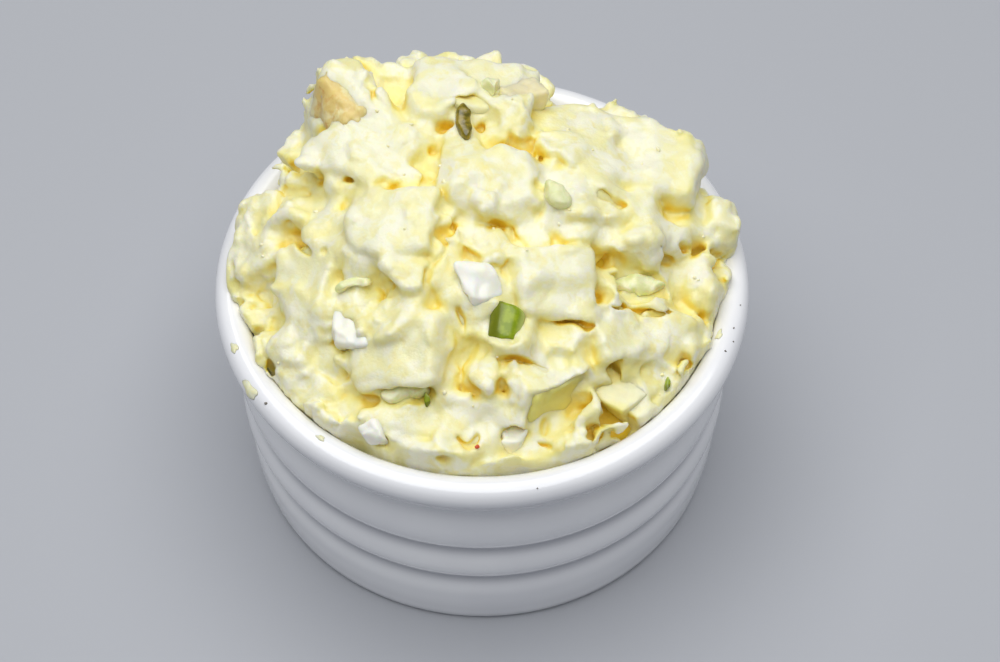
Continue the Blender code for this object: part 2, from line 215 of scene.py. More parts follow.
some_points = 90 * np.random.default_rng(1).random((999, 3))
print("noise spread:", round(float(smooth_noise(some_points, 5.0).std()), 2))

# %% Clumps
STEPS = np.array(list(np.ndindex(3, 3, 3)), np.int32) - 1


def clumps(points, size, shift=0.0):
    """How far inside its clump each point is, 0 at a crease, and how high its flat top is there."""
    place = points / np.float32(size) + np.float32(shift)
    cell = np.floor(place).astype(np.int32)
    part = place - cell
    nearest = np.full(len(points), 9.0, np.float32)
    second = nearest.copy()
    owner = np.zeros(len(points), np.int32)
    for number, step in enumerate(STEPS):
        x, y, z = ((cell + step) % LATTICE_SIDE).T
        away = CLUMP_MIDDLES[x, y, z] + step - part
        squared = np.einsum("ij,ij->i", away, away)
        closer = squared < nearest
        second = np.where(closer, nearest, np.minimum(second, squared))
        nearest = np.where(closer, squared, nearest)
        owner[closer] = number
    step = STEPS[owner]
    x, y, z = ((cell + step) % LATTICE_SIDE).T
    away = CLUMP_MIDDLES[x, y, z] + step - part
    top = LATTICE[x, y, z] + np.einsum("ij,ij->i", CLUMP_TILTS[x, y, z], away)
    return np.sqrt(second) - np.sqrt(nearest), top


print("share of points in a crease:", round(float((clumps(some_points, 5.0)[0] < 0.1).mean()), 2))

# %% [markdown]
# ## The shape of one die
#
# A cube of boiled potato has six faces that are not quite square to each other, a corner or two
# knocked off, and worn edges. Each face is kept as an outward direction and a distance. The sum of
# high powers of the distances gives a closed shape whose edges are rounded, the more so the lower the
# power. The same rule serves twice: it says how far any point in space is from the die, which the
# dressing needs, and where a ray from the middle leaves it, which makes its mesh.

# %% Cut shapes
Cut = namedtuple("Cut", "middle faces spin half power")
FACE_REACH = (0.86, 0.98)
KNOCK_REACH = (0.68, 0.82)


def turned_by(turn, lean, roll):
    spin = Euler((math.radians(lean), math.radians(roll), math.radians(turn)), "XYZ")
    return np.array(spin.to_matrix(), np.float32)


def cut_shape(piece, power=12, tilt=0.10, knocks=2, place=None):
    """The faces of a knife-cut piece: each row is an outward direction divided by its distance."""
    draw = random.Random(piece.name)
    half = np.array((piece.width, piece.depth, piece.height), np.float32) / 2
    rows = []
    for axis in range(3):
        for side in (-1, 1):
            way = np.array([draw.uniform(-tilt, tilt) for _ in range(3)])
            way[axis] = side
            way /= np.linalg.norm(way)
            rows.append(way / (half[axis] * draw.uniform(*FACE_REACH)))
    for _ in range(knocks):
        way = np.array([draw.choice((-1, 1)) * draw.uniform(0.5, 1.0) for _ in range(3)])
        way /= np.linalg.norm(way)
        rows.append(way / (np.abs(way * half).sum() * draw.uniform(*KNOCK_REACH)))
    spin = turned_by(piece.turn, piece.lean, piece.roll)
    middle = np.array((piece.x, piece.y, piece.z) if place is None else place, np.float32)
    return Cut(middle, np.array(rows, np.float32) @ spin.T, spin, half, power)


def away_from(cut, points):
    """How far points are outside the piece, in millimetres; less than 0 inside."""
    reach = np.maximum((points - cut.middle) @ cut.faces.T, 0.05)
    powered = reach ** (cut.power - 1)
    total = (powered * reach).sum(1)
    level = total ** (1 / cut.power)
    slope = (powered @ cut.faces) * (level / total)[:, None]
    return (level - 1) / np.maximum(np.linalg.norm(slope, axis=1), 0.02)


def sharpness(potato):
    """The skin side of a potato is round; a knife leaves sharper edges."""
    return 5 if potato.look == "skin" else random.Random(potato.name).choice((9, 12, 16))


POTATO_CUTS = {p.name: cut_shape(p, power=sharpness(p)) for p in POTATO}
print("faces of the first die:", len(POTATO_CUTS["back_slab"].faces))

# %% [markdown]
# ## The lumps of dressing
#
# Between the dice lie lumps of yolk and mashed potato bound by the dressing. They are spread by the
# golden angle, which never lines up, and a second row of them lies against the lip with a few gaps.
# The rule and its seeds are those of the solid model, so each lump here covers one there.

# %% Lumps
LUMP_COUNT, LUMP_REACH = 78, 37.0
LUMP_SMALLEST, LUMP_LARGEST, LUMP_DEPTH = 2.4, 4.8, 0.35
GOLDEN_ANGLE = math.pi * (3 - math.sqrt(5))
LIP_LUMPS, LIP_LUMP_REACH = 30, 39.6
LIP_LUMP_SMALLEST, LIP_LUMP_LARGEST = 2.6, 4.0
LIP_GAPS = [(52, 80), (208, 216), (258, 266), (308, 320)]

Lump = namedtuple("Lump", "middle radii turn")


def drawn_lump(x, y, z, radius, draw):
    stretch = (draw.uniform(0.9, 1.5), draw.uniform(0.8, 1.2), draw.uniform(0.6, 0.9))
    turn = draw.uniform(0, math.pi)
    return Lump(np.array((x, y, z), np.float32), radius * np.array(stretch, np.float32), turn)


def dome_lumps():
    draw = random.Random(5)
    found = []
    for i in range(LUMP_COUNT):
        reach = LUMP_REACH * math.sqrt((i + 0.5) / LUMP_COUNT)
        x, y = reach * math.cos(GOLDEN_ANGLE * i), reach * math.sin(GOLDEN_ANGLE * i)
        radius = draw.uniform(LUMP_SMALLEST, LUMP_LARGEST)
        found.append(drawn_lump(x, y, float(heap_height(x, y)) - LUMP_DEPTH * radius, radius, draw))
    return found


def lip_lumps():
    draw = random.Random(8)
    found = []
    for i in range(LIP_LUMPS):
        degrees = 360 * (i + draw.uniform(-0.25, 0.25)) / LIP_LUMPS
        reach = LIP_LUMP_REACH + draw.uniform(-1.0, 0.8)
        radius = draw.uniform(LIP_LUMP_SMALLEST, LIP_LUMP_LARGEST)
        height = LIP_HEIGHT + draw.uniform(-0.6, 1.2)
        if any(start < degrees % 360 < end for start, end in LIP_GAPS):
            continue
        around = math.radians(degrees)
        x, y = reach * math.cos(around), reach * math.sin(around)
        found.append(drawn_lump(x, y, height, radius, draw))
    return found


LUMPS = dome_lumps() + lip_lumps()
print("lumps:", len(LUMPS))

# %% [markdown]
# ## The outline of the dish
#
# The ramekin is turned, so one outline gives all of it: the floor, the inner wall, the rolled rim,
# three bands parted by two soft grooves, and the foot. Its few corner points are joined by a smooth
# curve. The heap needs this outline as well, because the dressing must stop a hair short of the glaze.

# %% Outline
OUTLINE = [
    (0.0, FLOOR_THICKNESS), (18.0, FLOOR_THICKNESS), (31.0, FLOOR_THICKNESS), (35.4, 7.2),
    (37.3, 10.5), (38.1, 20.0), (39.1, 36.0), (39.5, 42.0), (40.3, 44.4), (42.3, RAMEKIN_HEIGHT),
    (44.1, 44.9), (RIM_RADIUS, 43.2), (44.7, 41.6), (43.9, 39.7), (42.9, 38.1), (42.0, 37.0),
    (41.8, 36.0), (42.4, 33.4), (42.8, 30.2), (42.5, 27.2), (41.9, 25.2), (41.1, 23.8),
    (41.7, 22.4), (42.3, 20.6), (42.5, 18.6), (42.1, 16.8), (41.5, 15.5), (40.7, 14.2),
    (41.2, 12.8), (41.7, 11.0), (41.75, 7.8), (41.4, 4.0), (40.9, 1.3), (40.4, 0.2), (39.8, 0.0),
    (36.0, 0.0), (35.3, 0.4), (34.8, 1.2), (30.0, 1.2), (12.0, 1.2), (0.0, 1.2),
]


def smoothed(points, between=6):
    """A smooth curve through the points that never swings past them."""
    points = np.array(points)
    ahead = np.diff(points, axis=0)
    lengths = np.linalg.norm(ahead, axis=1)
    slopes = ahead / lengths[:, None]
    before, after = lengths[:-1, None], lengths[1:, None]
    inner = (slopes[:-1] * after + slopes[1:] * before) / (before + after)
    tangents = np.vstack([slopes[:1], inner, slopes[-1:]])
    found = []
    for i, length in enumerate(lengths):
        t = np.linspace(0, 1, between, endpoint=False)[:, None]
        found.append(
            (2 * t**3 - 3 * t**2 + 1) * points[i]
            + (t**3 - 2 * t**2 + t) * tangents[i] * length
            + (3 * t**2 - 2 * t**3) * points[i + 1]
            + (t**3 - t**2) * tangents[i + 1] * length
        )
    return np.vstack(found + [points[-1:]])


DISH_CURVE = np.clip(smoothed(OUTLINE), 0, (RIM_RADIUS, RAMEKIN_HEIGHT))
print("points on the dish's outline:", len(DISH_CURVE), "reach", round(float(DISH_CURVE[:, 0].max()), 2))


def away_from_dish(reach, height):
    """How far places, given as reach from the axis and height, are from the clay; less than 0 inside."""
    start, end = DISH_CURVE[:-1], DISH_CURVE[1:]
    least = np.full(reach.shape, 1e9)
    inside = np.zeros(reach.shape, bool)
    for (r0, z0), (r1, z1) in zip(start, end):
        run, rise = r1 - r0, z1 - z0
        along = np.clip(((reach - r0) * run + (height - z0) * rise) / (run * run + rise * rise), 0, 1)
        least = np.minimum(least, (reach - r0 - along * run) ** 2 + (height - z0 - along * rise) ** 2)
        if rise:
            crosses = ((z0 > height) != (z1 > height)) & (reach < r0 + (height - z0) * run / rise)
            inside ^= crosses
    return np.where(inside, -1, 1) * np.sqrt(least)


# %% [markdown]
# ## The field of the dressing
#
# The dressing could be sculpted by hand, but its shape follows a rule: it fills the space between the
# pieces, coats them unevenly and leaves some faces bare. So it is worked out in space. At each point
# of a fine grid, one number says how far that point is from the surface of the dressing. The heap,
# the coated dice and the lumps are blended by taking the smaller number, with the edge between two
# shapes rounded a little. Clumps and noise then roughen it, and the dish is cut away from it.

# %% The grid
GRID_STEP = 0.35
GRID_LOW = np.array((-45.2, -45.2, 39.0), np.float32)
GRID_HIGH = np.array((45.2, 45.2, 73.0), np.float32)
GRID_COUNT = np.ceil((GRID_HIGH - GRID_LOW) / GRID_STEP).astype(int) + 1
AXES = [GRID_LOW[i] + GRID_STEP * np.arange(GRID_COUNT[i], dtype=np.float32) for i in range(3)]
FLAT_X, FLAT_Y = np.meshgrid(AXES[0], AXES[1], indexing="ij")
print("grid:", GRID_COUNT, "points:", int(GRID_COUNT.prod()))


def block(low, high):
    """The part of the grid between two corners, as slices, and its points as rows."""
    first = np.clip(np.floor((low - GRID_LOW) / GRID_STEP).astype(int), 0, GRID_COUNT - 1)
    last = np.clip(np.ceil((high - GRID_LOW) / GRID_STEP).astype(int) + 1, 1, GRID_COUNT)
    parts = tuple(slice(a, b) for a, b in zip(first, last))
    mesh = np.meshgrid(*[AXES[i][parts[i]] for i in range(3)], indexing="ij")
    return parts, np.stack(mesh, -1).reshape(-1, 3)


def blended(first, second, width):
    """The smaller of two distances, with the edge where they are equal rounded over a width."""
    mix = np.clip(0.5 + (second - first) / (2 * width), 0, 1)
    return second + (first - second) * mix - width * mix * (1 - mix)


def sampled(grid, points):
    """The grid's value at any points, blended from the eight corners round each."""
    place = (np.asarray(points, np.float32) - GRID_LOW) / GRID_STEP
    cell = np.clip(np.floor(place).astype(int), 0, GRID_COUNT - 2)
    u, v, w = np.clip(place - cell, 0, 1).T
    total = 0.0
    for i, weight_x in ((0, 1 - u), (1, u)):
        for j, weight_y in ((0, 1 - v), (1, v)):
            for k, weight_z in ((0, 1 - w), (1, w)):
                corner = grid[cell[:, 0] + i, cell[:, 1] + j, cell[:, 2] + k]
                total = total + weight_x * weight_y * weight_z * corner
    return total


def outward(grid, points, reach=1.2):
    """The direction out of the surface at points, from the field's slope."""
    points = np.asarray(points, np.float32)
    steps = reach * np.eye(3, dtype=np.float32)
    slope = np.stack([sampled(grid, points + s) - sampled(grid, points - s) for s in steps], 1)
    return slope / np.maximum(np.linalg.norm(slope, axis=1), 1e-6)[:, None]


# %% The heap in the field
HEAP_SINK = 1.3
LIP_ROUNDING, LIP_FALL = 1.0, 1.5


def heap_field():
    height = heap_height(FLAT_X, FLAT_Y) - HEAP_SINK
    beyond = np.maximum(np.hypot(FLAT_X, FLAT_Y) - LIP_RADIUS + LIP_ROUNDING, 0)
    height = height - LIP_FALL * beyond
    slope_x, slope_y = np.gradient(height, GRID_STEP)
    steepness = np.sqrt(1 + slope_x**2 + slope_y**2)
    return (AXES[2][None, None, :] - height[:, :, None]) / steepness[:, :, None]


heap_part = heap_field()
print("heap in the field:", heap_part.shape)

# %% The coated dice in the field
COAT_THICKEST, COAT_THINNEST = 1.2, -0.55
COAT_PATCH, COAT_PATCH_SIZE = 0.42, 6.5
DICE_BLEND = 0.9
COAT_REACH, BLOCK_MARGIN, FAR = 4.0, 3.0, 6.0
BARE_SIDES = {"skin": (-0.68, -0.65, 0.34), "tan": (0.35, -0.50, 0.79)}
SHOWN_BARE = {"waxy", "skin", "tan", "wedge"}
FILM = 0.55


def on_front_face(cut, points):
    """1 over the front face of a piece, falling to 0 beyond its edges."""
    local = (points - cut.middle) @ cut.spin / cut.half
    beside = np.maximum(local[:, 2], np.abs(local[:, 0]))
    return np.clip(5 * (-local[:, 1] - beside) + 1.0, 0, 1)


def coat_on(potato, cut, points):
    """How thick the dressing lies: none on the bare side of a few dice, and at least a film elsewhere."""
    bare = potato.bare
    if potato.look == "waxy":
        bare = bare * on_front_face(cut, points)
    if potato.look in BARE_SIDES:
        ways = (points - cut.middle) / cut.half.min()
        bare = bare * np.clip(1.6 * (ways @ np.array(BARE_SIDES[potato.look], np.float32)) - 0.2, 0, 1)
    patch = COAT_PATCH * rough_noise(points, COAT_PATCH_SIZE, 2, shift=3.1)
    coat = COAT_THICKEST + (COAT_THINNEST - COAT_THICKEST) * bare + patch
    return coat if potato.look in SHOWN_BARE else np.maximum(coat, FILM)


def add_dice(coated, bare):
    for potato in POTATO:
        cut = POTATO_CUTS[potato.name]
        reach = float(np.linalg.norm(cut.half)) + BLOCK_MARGIN
        parts, points = block(cut.middle - reach, cut.middle + reach)
        away = away_from(cut, points)
        shape = coated[parts].shape
        bare[parts] = np.minimum(bare[parts], away.reshape(shape))
        near = np.abs(away) < COAT_REACH
        away[near] -= coat_on(potato, cut, points[near])
        coated[parts] = blended(coated[parts], away.reshape(shape), DICE_BLEND)


coated_part = np.full(GRID_COUNT, FAR, np.float32)
BARE_FIELD = np.full(GRID_COUNT, FAR, np.float32)
add_dice(coated_part, BARE_FIELD)
print("cells inside bare potato:", int((BARE_FIELD < 0).sum()))

# %% The lumps in the field
HEAP_BLEND, LUMP_BLEND = 2.0, 1.4
LUMP_WIDENING, LUMP_MARGIN = 1.9, 2.5
Lumpy = namedtuple("Lumpy", "name x y z width depth height turn lean roll")


def add_lumps(field):
    for number, lump in enumerate(LUMPS):
        reach = float(lump.radii.max()) + LUMP_MARGIN
        parts, points = block(lump.middle - reach, lump.middle + reach)
        width, depth, height = LUMP_WIDENING * lump.radii
        x, y, z = lump.middle
        turn = math.degrees(lump.turn)
        shape = Lumpy(f"lump_{number}", x, y, z, width, depth, height, turn, 0, 0)
        away = away_from(cut_shape(shape, power=5, tilt=0.45, knocks=5), points)
        field[parts] = blended(field[parts], away.reshape(field[parts].shape), LUMP_BLEND)


FIELD = blended(heap_part, coated_part, HEAP_BLEND).astype(np.float32)
add_lumps(FIELD)
print("cells inside the heap:", int((FIELD < 0).sum()))

# %% [markdown]
# ## Chips, clumps and creases
#
# Only the points near the surface matter now, so the roughening is worked out for those alone. First
# the whole field is pushed about a little by noise, which chips the edges of the dice. Then clumps of
# two sizes are laid over a slow swell: the large ones everywhere, the small ones in crumbly patches and
# along the lip, while the patches between them stay creamy. Over the faces of the dice, where the
# dressing is only a film, the relief is flattened. At the end all of it is softened a little.

# %% Chips
BAND = 3.0
CHIP, CHIP_SIZE = 0.75, 4.0


def grid_points(where):
    i, j, k = np.nonzero(where)
    return np.stack([AXES[0][i], AXES[1][j], AXES[2][k]], 1)


def pushed(points, size, shifts):
    """A small push in a direction that changes slowly from place to place."""
    return np.stack([smooth_noise(points, size, shift) for shift in shifts], 1).astype(np.float32)


def chipped(points):
    return CHIP * pushed(points, CHIP_SIZE, (51.0, 57.0, 63.0))


def chip(field):
    near = np.abs(field) < BAND
    points = grid_points(near)
    field[near] = sampled(field, points + chipped(points))


chip(FIELD)
chip(BARE_FIELD)
print("largest chip:", round(float(np.abs(chipped(some_points)).max()), 2), "mm")

# %% Clumps, crumbs and grain
WARP, WARP_SIZE = 1.3, 5.0
SWELL_HEIGHT, SWELL_SIZE = 0.6, 7.0
CLUMP_SIZE, CLUMP_STEP, CLUMP_CREASE = 4.6, 0.66, 0.50
CRUMB_SIZE, CRUMB_STEP, CRUMB_CREASE = 2.0, 0.38, 0.30
CREASE_WIDTH = 0.26
CRUMBLY_MEAN, CRUMBLY_SPREAD, CRUMBLY_PATCH = 0.45, 1.1, 9.0
LIP_CRUMBLE, LIP_CRUMBLE_START, LIP_CRUMBLE_WIDTH = 0.7, 35, 3
GRAIN_SIZE, GRAIN_HEIGHT = 1.5, 0.20
FLAT_OVER, FLATTEST = 2.0, 0.48


def clump_relief(points, size, step, crease, shift):
    inside, top = clumps(points, size, shift)
    return step * top - crease * (1 - np.minimum(inside / CREASE_WIDTH, 1)) ** 1.5


def roughen(field):
    near = np.abs(field) < BAND
    points = grid_points(near)
    warped = points + WARP * pushed(points, WARP_SIZE, (11.0, 23.0, 37.0))
    crumbly = CRUMBLY_MEAN + CRUMBLY_SPREAD * smooth_noise(points, CRUMBLY_PATCH, 5.0)
    crumbly = np.clip(crumbly, 0.05, 1.1)
    past_start = np.hypot(points[:, 0], points[:, 1]) - LIP_CRUMBLE_START
    crumbly += LIP_CRUMBLE * np.clip(past_start / LIP_CRUMBLE_WIDTH, 0, 1)
    relief = SWELL_HEIGHT * smooth_noise(points, SWELL_SIZE, 2.0)
    relief += clump_relief(warped, CLUMP_SIZE, CLUMP_STEP, CLUMP_CREASE, 0.0) * (0.5 + 0.5 * crumbly)
    relief += clump_relief(warped, CRUMB_SIZE, CRUMB_STEP, CRUMB_CREASE, 4.0) * crumbly
    relief += GRAIN_HEIGHT * rough_noise(points, GRAIN_SIZE, 2, 9.0)
    relief *= np.clip(BARE_FIELD[near] / FLAT_OVER, FLATTEST, 1)
    field[near] -= relief
    print("points near the surface:", len(points))


roughen(FIELD)

# %% Soften
SOFTENING = 1


def softened(field):
    """Blends each point with its neighbours, as thick cream rounds every edge."""
    for axis in range(3):
        inner = [slice(None)] * 3
        before, after = list(inner), list(inner)
        inner[axis], before[axis], after[axis] = slice(1, -1), slice(None, -2), slice(2, None)
        blend = 0.5 * field[tuple(inner)] + 0.25 * (field[tuple(before)] + field[tuple(after)])
        field[tuple(inner)] = blend


for _ in range(SOFTENING):
    softened(FIELD)
print("cells inside after softening:", int((FIELD < 0).sum()))

# %% [markdown]
# ## Hollows
#
# In some places the pieces don't quite meet, and the light that gets in comes out a deep golden
# yellow. The larger of these hollows are pressed in one by one, where the salad has them. Each is an
# oval: its place seen from above, its length, width and depth, and its turn in degrees.

# %% Where the hollows are
Hollow = namedtuple("Hollow", "x y length width depth turn")
HOLLOWS = [
    Hollow(-28.9, -2.0, 8.5, 2.6, 3.2, -54),
    Hollow(-21.4, 5.5, 2.6, 1.8, 2.2, 0),
    Hollow(-6.5, -9.8, 6.5, 1.0, 1.6, 67),
    Hollow(20.3, -6.9, 3.4, 2.6, 3.8, 70),
    Hollow(20.7, 2.1, 5.0, 1.9, 2.6, -35),
    Hollow(27.9, -2.9, 7.0, 1.8, 2.2, -10),
    Hollow(31.5, 0.0, 2.4, 1.8, 2.4, 0),
    Hollow(20.9, -22.7, 2.6, 4.0, 3.2, 0),
    Hollow(5.9, -23.9, 7.0, 1.4, 1.6, -5),
    Hollow(-3.3, -19.0, 1.4, 5.4, 1.8, 15),
    Hollow(-2.3, -35.6, 4.6, 2.0, 1.6, 12),
    Hollow(-15.9, -35.0, 4.2, 2.0, 2.0, 25),
    Hollow(-9.6, -36.9, 2.6, 1.2, 1.4, 0),
    Hollow(9.7, -35.6, 3.4, 1.2, 1.3, -12),
    Hollow(-24.4, -30.4, 3.2, 1.4, 1.5, 35),
    Hollow(-6.5, 14.6, 2.6, 1.7, 2.4, -20),
    Hollow(14.3, -17.7, 8.0, 1.5, 2.0, 0),
    Hollow(-13.8, -12.9, 2.0, 0.9, 1.2, -15),
    Hollow(25.6, -13.6, 12.0, 1.4, 1.8, 5),
    Hollow(-39.0, 0.2, 2.2, 3.2, 2.0, 0),
    Hollow(-11.2, 24.2, 2.2, 1.6, 1.6, 0),
]
SMALL_PITS, PIT_REACH, PIT_EDGE = 3, 38, 0.3
HOLLOW_EDGE = 0.5
print("hollows:", len(HOLLOWS), "small pits:", SMALL_PITS)

# %% A tool that cuts an uneven oval, and one that finds the surface
BRIM_NOISE, BRIM_NOISE_SIZE = 1.3, 2.4
OVAL_MARGIN = 2.5
SLOPE_REACH, LOCAL_SHARE = 2.0, 0.35


def cut_oval(field, middle, radii, spin, edge):
    """Takes an uneven oval out of the field, with its brim rounded over an edge."""
    reach = float(max(radii)) + OVAL_MARGIN
    parts, points = block(middle - reach, middle + reach)
    points = points + BRIM_NOISE * pushed(points, BRIM_NOISE_SIZE, (71.0, 77.0, 83.0))
    radii = np.array(radii, np.float32)
    level = np.linalg.norm((points - middle) @ spin / radii, axis=1)
    away = ((level - 1) * radii.min()).reshape(field[parts].shape)
    field[parts] = -blended(-field[parts], away, edge)


def on_surface(x, y, lift, field, start_height=None):
    """The point over a place that is lift above the surface, and the way out of the surface there."""
    height = float(heap_height(x, y)) if start_height is None else start_height
    place = np.array([(x, y, height)], np.float32)
    for _ in range(14):
        way = outward(field, place, SLOPE_REACH)
        place = place + 0.6 * way * (lift - sampled(field, place))[:, None]
    slope_x = float(heap_height(x + 1.0, y) - heap_height(x - 1.0, y)) / 2
    slope_y = float(heap_height(x, y + 1.0) - heap_height(x, y - 1.0)) / 2
    general = np.array((-slope_x, -slope_y, 1.0)) / math.sqrt(slope_x**2 + slope_y**2 + 1)
    way = LOCAL_SHARE * way[0] + (1 - LOCAL_SHARE) * general
    return place[0], (way / np.linalg.norm(way)).astype(np.float32)


def facing(way, turn):
    """A turn that lays a piece flat on a surface which faces a way."""
    flat = Vector((0, 0, 1)).rotation_difference(Vector(way.tolist())).to_matrix()
    return np.array(flat @ Euler((0, 0, math.radians(turn))).to_matrix(), np.float32)


SMOOTH_FIELD = FIELD.copy()
apex_place, _ = on_surface(APEX_X, APEX_Y, 0.0, SMOOTH_FIELD)
print("surface over the apex at", [round(float(v), 1) for v in apex_place])

# %% Press in the hollows
for hollow in HOLLOWS:
    middle, way = on_surface(hollow.x, hollow.y, 0.2, SMOOTH_FIELD)
    radii = (hollow.length / 2, hollow.width / 2, hollow.depth)
    cut_oval(FIELD, middle, radii, facing(way, hollow.turn), HOLLOW_EDGE)
pit_draw = random.Random(31)
for _ in range(SMALL_PITS):
    around, reach = pit_draw.uniform(0, 2 * math.pi), PIT_REACH * math.sqrt(pit_draw.random())
    middle, way = on_surface(reach * math.cos(around), reach * math.sin(around), 0.1, SMOOTH_FIELD)
    radii = (pit_draw.uniform(0.5, 1.5), pit_draw.uniform(0.4, 0.8), pit_draw.uniform(0.8, 1.6))
    cut_oval(FIELD, middle, radii, facing(way, pit_draw.uniform(0, 180)), PIT_EDGE)
print("cells inside after the hollows:", int((FIELD < 0).sum()))

# %% [markdown]
# ## Small pieces and the lip
#
# The small green and white bits lie on top, each in a shallow clearing of its own, so the dressing
# is pressed back round them, and so it is in front of the two dice whose cut faces are bare. Along the
# lip the dressing ends in a ragged edge just inside the rim, and lies over it only at the left and at
# the far right. There are a few narrow gaps, through which the inside of the dish shows dark. Last,
# the dish itself is cut away with a hair's clearance.

# %% Small pieces: where they lie
Bit = namedtuple("Bit", "name x y z width depth height turn lean roll lift")
EGG_WHITE = [
    Bit("egg_centre", -0.3, -14.4, 60.0, 6.5, 6.8, 5, 24, 10, 0, -1.1),
    Bit("egg_left", -21.6, -18.8, 53.5, 6.5, 7, 5, -10, 10, -8, -1.1),
    Bit("egg_front", -17.0, -33.0, 46.5, 4, 4, 4, 10, 27, -14, -0.4),
    Bit("egg_low", 5.0, -34.6, 46.5, 5, 4.5, 4, 25, 6, 4, -1.5),
]
GHERKIN = [
    Bit("gherkin_back", -2.2, 14.2, 66.0, 10.0, 7.5, 2.8, 96, 14, 4, 0.3),
    Bit("gherkin_side", 37.5, 13.5, 50.5, 6.0, 3.0, 2.4, 110, 0, 20, 0.1),
]
GREEN_ONION = [
    Bit("onion_front", 4.3, -21.4, 57.0, 6.2, 7.2, 2.6, -10, 34, 8, 1.1),
    Bit("onion_line", -8.5, -29.8, 50.7, 4.6, 0.9, 1.2, 86, 0, 0, 0.0),
    Bit("onion_sliver", 30.2, -24.2, 46.2, 4.4, 1.0, 1.2, 78, 0, 0, 0.0),
]
CELERY = [
    Bit("celery_rod", 11.5, 0.5, 63.0, 9, 3, 4, -48, 12, 10, -0.5),
    Bit("celery_right", 25.2, -9.6, 54.5, 11, 4, 3.6, 4, 40, 22, -1.2),
    Bit("celery_front", -12.3, -29.2, 50.5, 10, 3, 3.2, 6, 32, -10, -1.1),
    Bit("celery_back", 2.0, 20.5, 67.5, 5, 2, 4, 12, 0, 10, -0.3),
    Bit("celery_arc", -20.5, -12.5, 57.0, 7.5, 2, 2.2, 8, 0, 0, -0.1),
]
BITS = EGG_WHITE + GHERKIN + GREEN_ONION + CELERY
LAID = {bit.name: on_surface(bit.x, bit.y, bit.lift, SMOOTH_FIELD, bit.z) for bit in BITS}
print("laid:", {name: [round(float(v), 1) for v in place] for name, (place, way) in LAID.items()})

# %% Press the dressing back round them, and open the gaps
CLEARING_MARGIN, EGG_MARGIN, CLEARING_EDGE = 0.1, -0.6, 0.6
BARE_FACE_OFFSET, BARE_FACE_LIFT, BARE_FACE_DEPTH = 1.7, 1.3, 2.2
GAPS_SHOWN = (199, 210, 300)
GAP_RADII, GAP_REACH, GAP_EDGE = (2.2, 1.1, 4.0), 39.5, 0.4

for bit in BITS:
    place, way = LAID[bit.name]
    margin = EGG_MARGIN if bit in EGG_WHITE else CLEARING_MARGIN
    radii = np.array((bit.width, bit.depth, bit.height)) / 2 + margin
    spin = turned_by(bit.turn, bit.lean, bit.roll)
    cut_oval(FIELD, place + way * (0.5 * bit.height + 0.2), radii, spin, CLEARING_EDGE)
for name in ("front_cut", "wedge"):
    cut = POTATO_CUTS[name]
    out = cut.spin @ np.array((0, -cut.half[1] - BARE_FACE_OFFSET, BARE_FACE_LIFT), np.float32)
    radii = (0.95 * cut.half[0], BARE_FACE_DEPTH, 0.62 * cut.half[2])
    cut_oval(FIELD, cut.middle + out, radii, cut.spin, GAP_EDGE)
for degrees in GAPS_SHOWN:
    around = math.radians(degrees)
    middle = (GAP_REACH * math.cos(around), GAP_REACH * math.sin(around), LIP_HEIGHT)
    cut_oval(FIELD, np.array(middle, np.float32), GAP_RADII, turned_by(degrees + 90, 0, 0), GAP_EDGE)
print("clearings:", len(BITS), "gaps:", len(GAPS_SHOWN))

# %% Finish the lip and keep clear of the dish
DISH_CLEARANCE, RIM_MARGIN = 0.12, 0.3
FIELD_FLOOR = 40.0
LIP_EDGE, LIP_EDGE_NOISE, LIP_EDGE_PATCH, LIP_EDGE_ROUNDING = 40.7, 1.1, 5.0, 0.8
OVER_RIM = [(184, 14, 1.8), (10, 11, 4.0), (270, 50, -1.1), (147, 13, -1.4)]
TABLE_STEP, TABLE_REACH = 0.25, 66


def lip_edge(degrees):
    """How far out the dressing reaches in a direction; OVER_RIM says where it reaches more or less."""
    reach = np.full(degrees.shape, LIP_EDGE)
    for middle, spread, more in OVER_RIM:
        apart = (degrees - middle + 180) % 360 - 180
        reach += more * np.exp(-((apart / spread) ** 2))
    return reach


flat_reach = np.hypot(FLAT_X, FLAT_Y)
flat_points = np.stack([FLAT_X, FLAT_Y, 0 * FLAT_X], -1).reshape(-1, 3)
ragged = LIP_EDGE_NOISE * rough_noise(flat_points, LIP_EDGE_PATCH, 3, 17.0).reshape(flat_reach.shape)
beyond_lip = flat_reach - lip_edge(np.degrees(np.arctan2(FLAT_Y, FLAT_X))) - ragged
FIELD = -blended(-FIELD, -beyond_lip[:, :, None], LIP_EDGE_ROUNDING)

dish_reach = np.arange(0, TABLE_REACH, TABLE_STEP)
dish_height = np.arange(GRID_LOW[2], GRID_HIGH[2] + 1, TABLE_STEP)
dish_table = away_from_dish(*np.meshgrid(dish_reach, dish_height, indexing="ij"))
reach_index = np.clip(np.round(flat_reach / TABLE_STEP).astype(int), 0, len(dish_reach) - 1)
height_steps = np.round((AXES[2] - GRID_LOW[2]) / TABLE_STEP).astype(int)
height_index = np.clip(height_steps, 0, len(dish_height) - 1)
DISH_FIELD = dish_table[reach_index][:, :, height_index].astype(np.float32)
FIELD = np.maximum(FIELD, DISH_CLEARANCE - DISH_FIELD)
FIELD = np.maximum(FIELD, (flat_reach - RIM_RADIUS + RIM_MARGIN)[:, :, None])
FIELD = np.maximum(FIELD, FIELD_FLOOR - AXES[2][None, None, :]).astype(np.float32)
print("cells inside the dressing:", int((FIELD < 0).sum()))

# %% [markdown]
# ## From the field to a mesh
#
# Surface nets turn the field into a mesh: each cell that the surface passes through gets one point,
# at the middle of the places where its edges are crossed, and each crossed edge of the grid gets a
# face between the four cells round it. The faces come out even and nearly square.

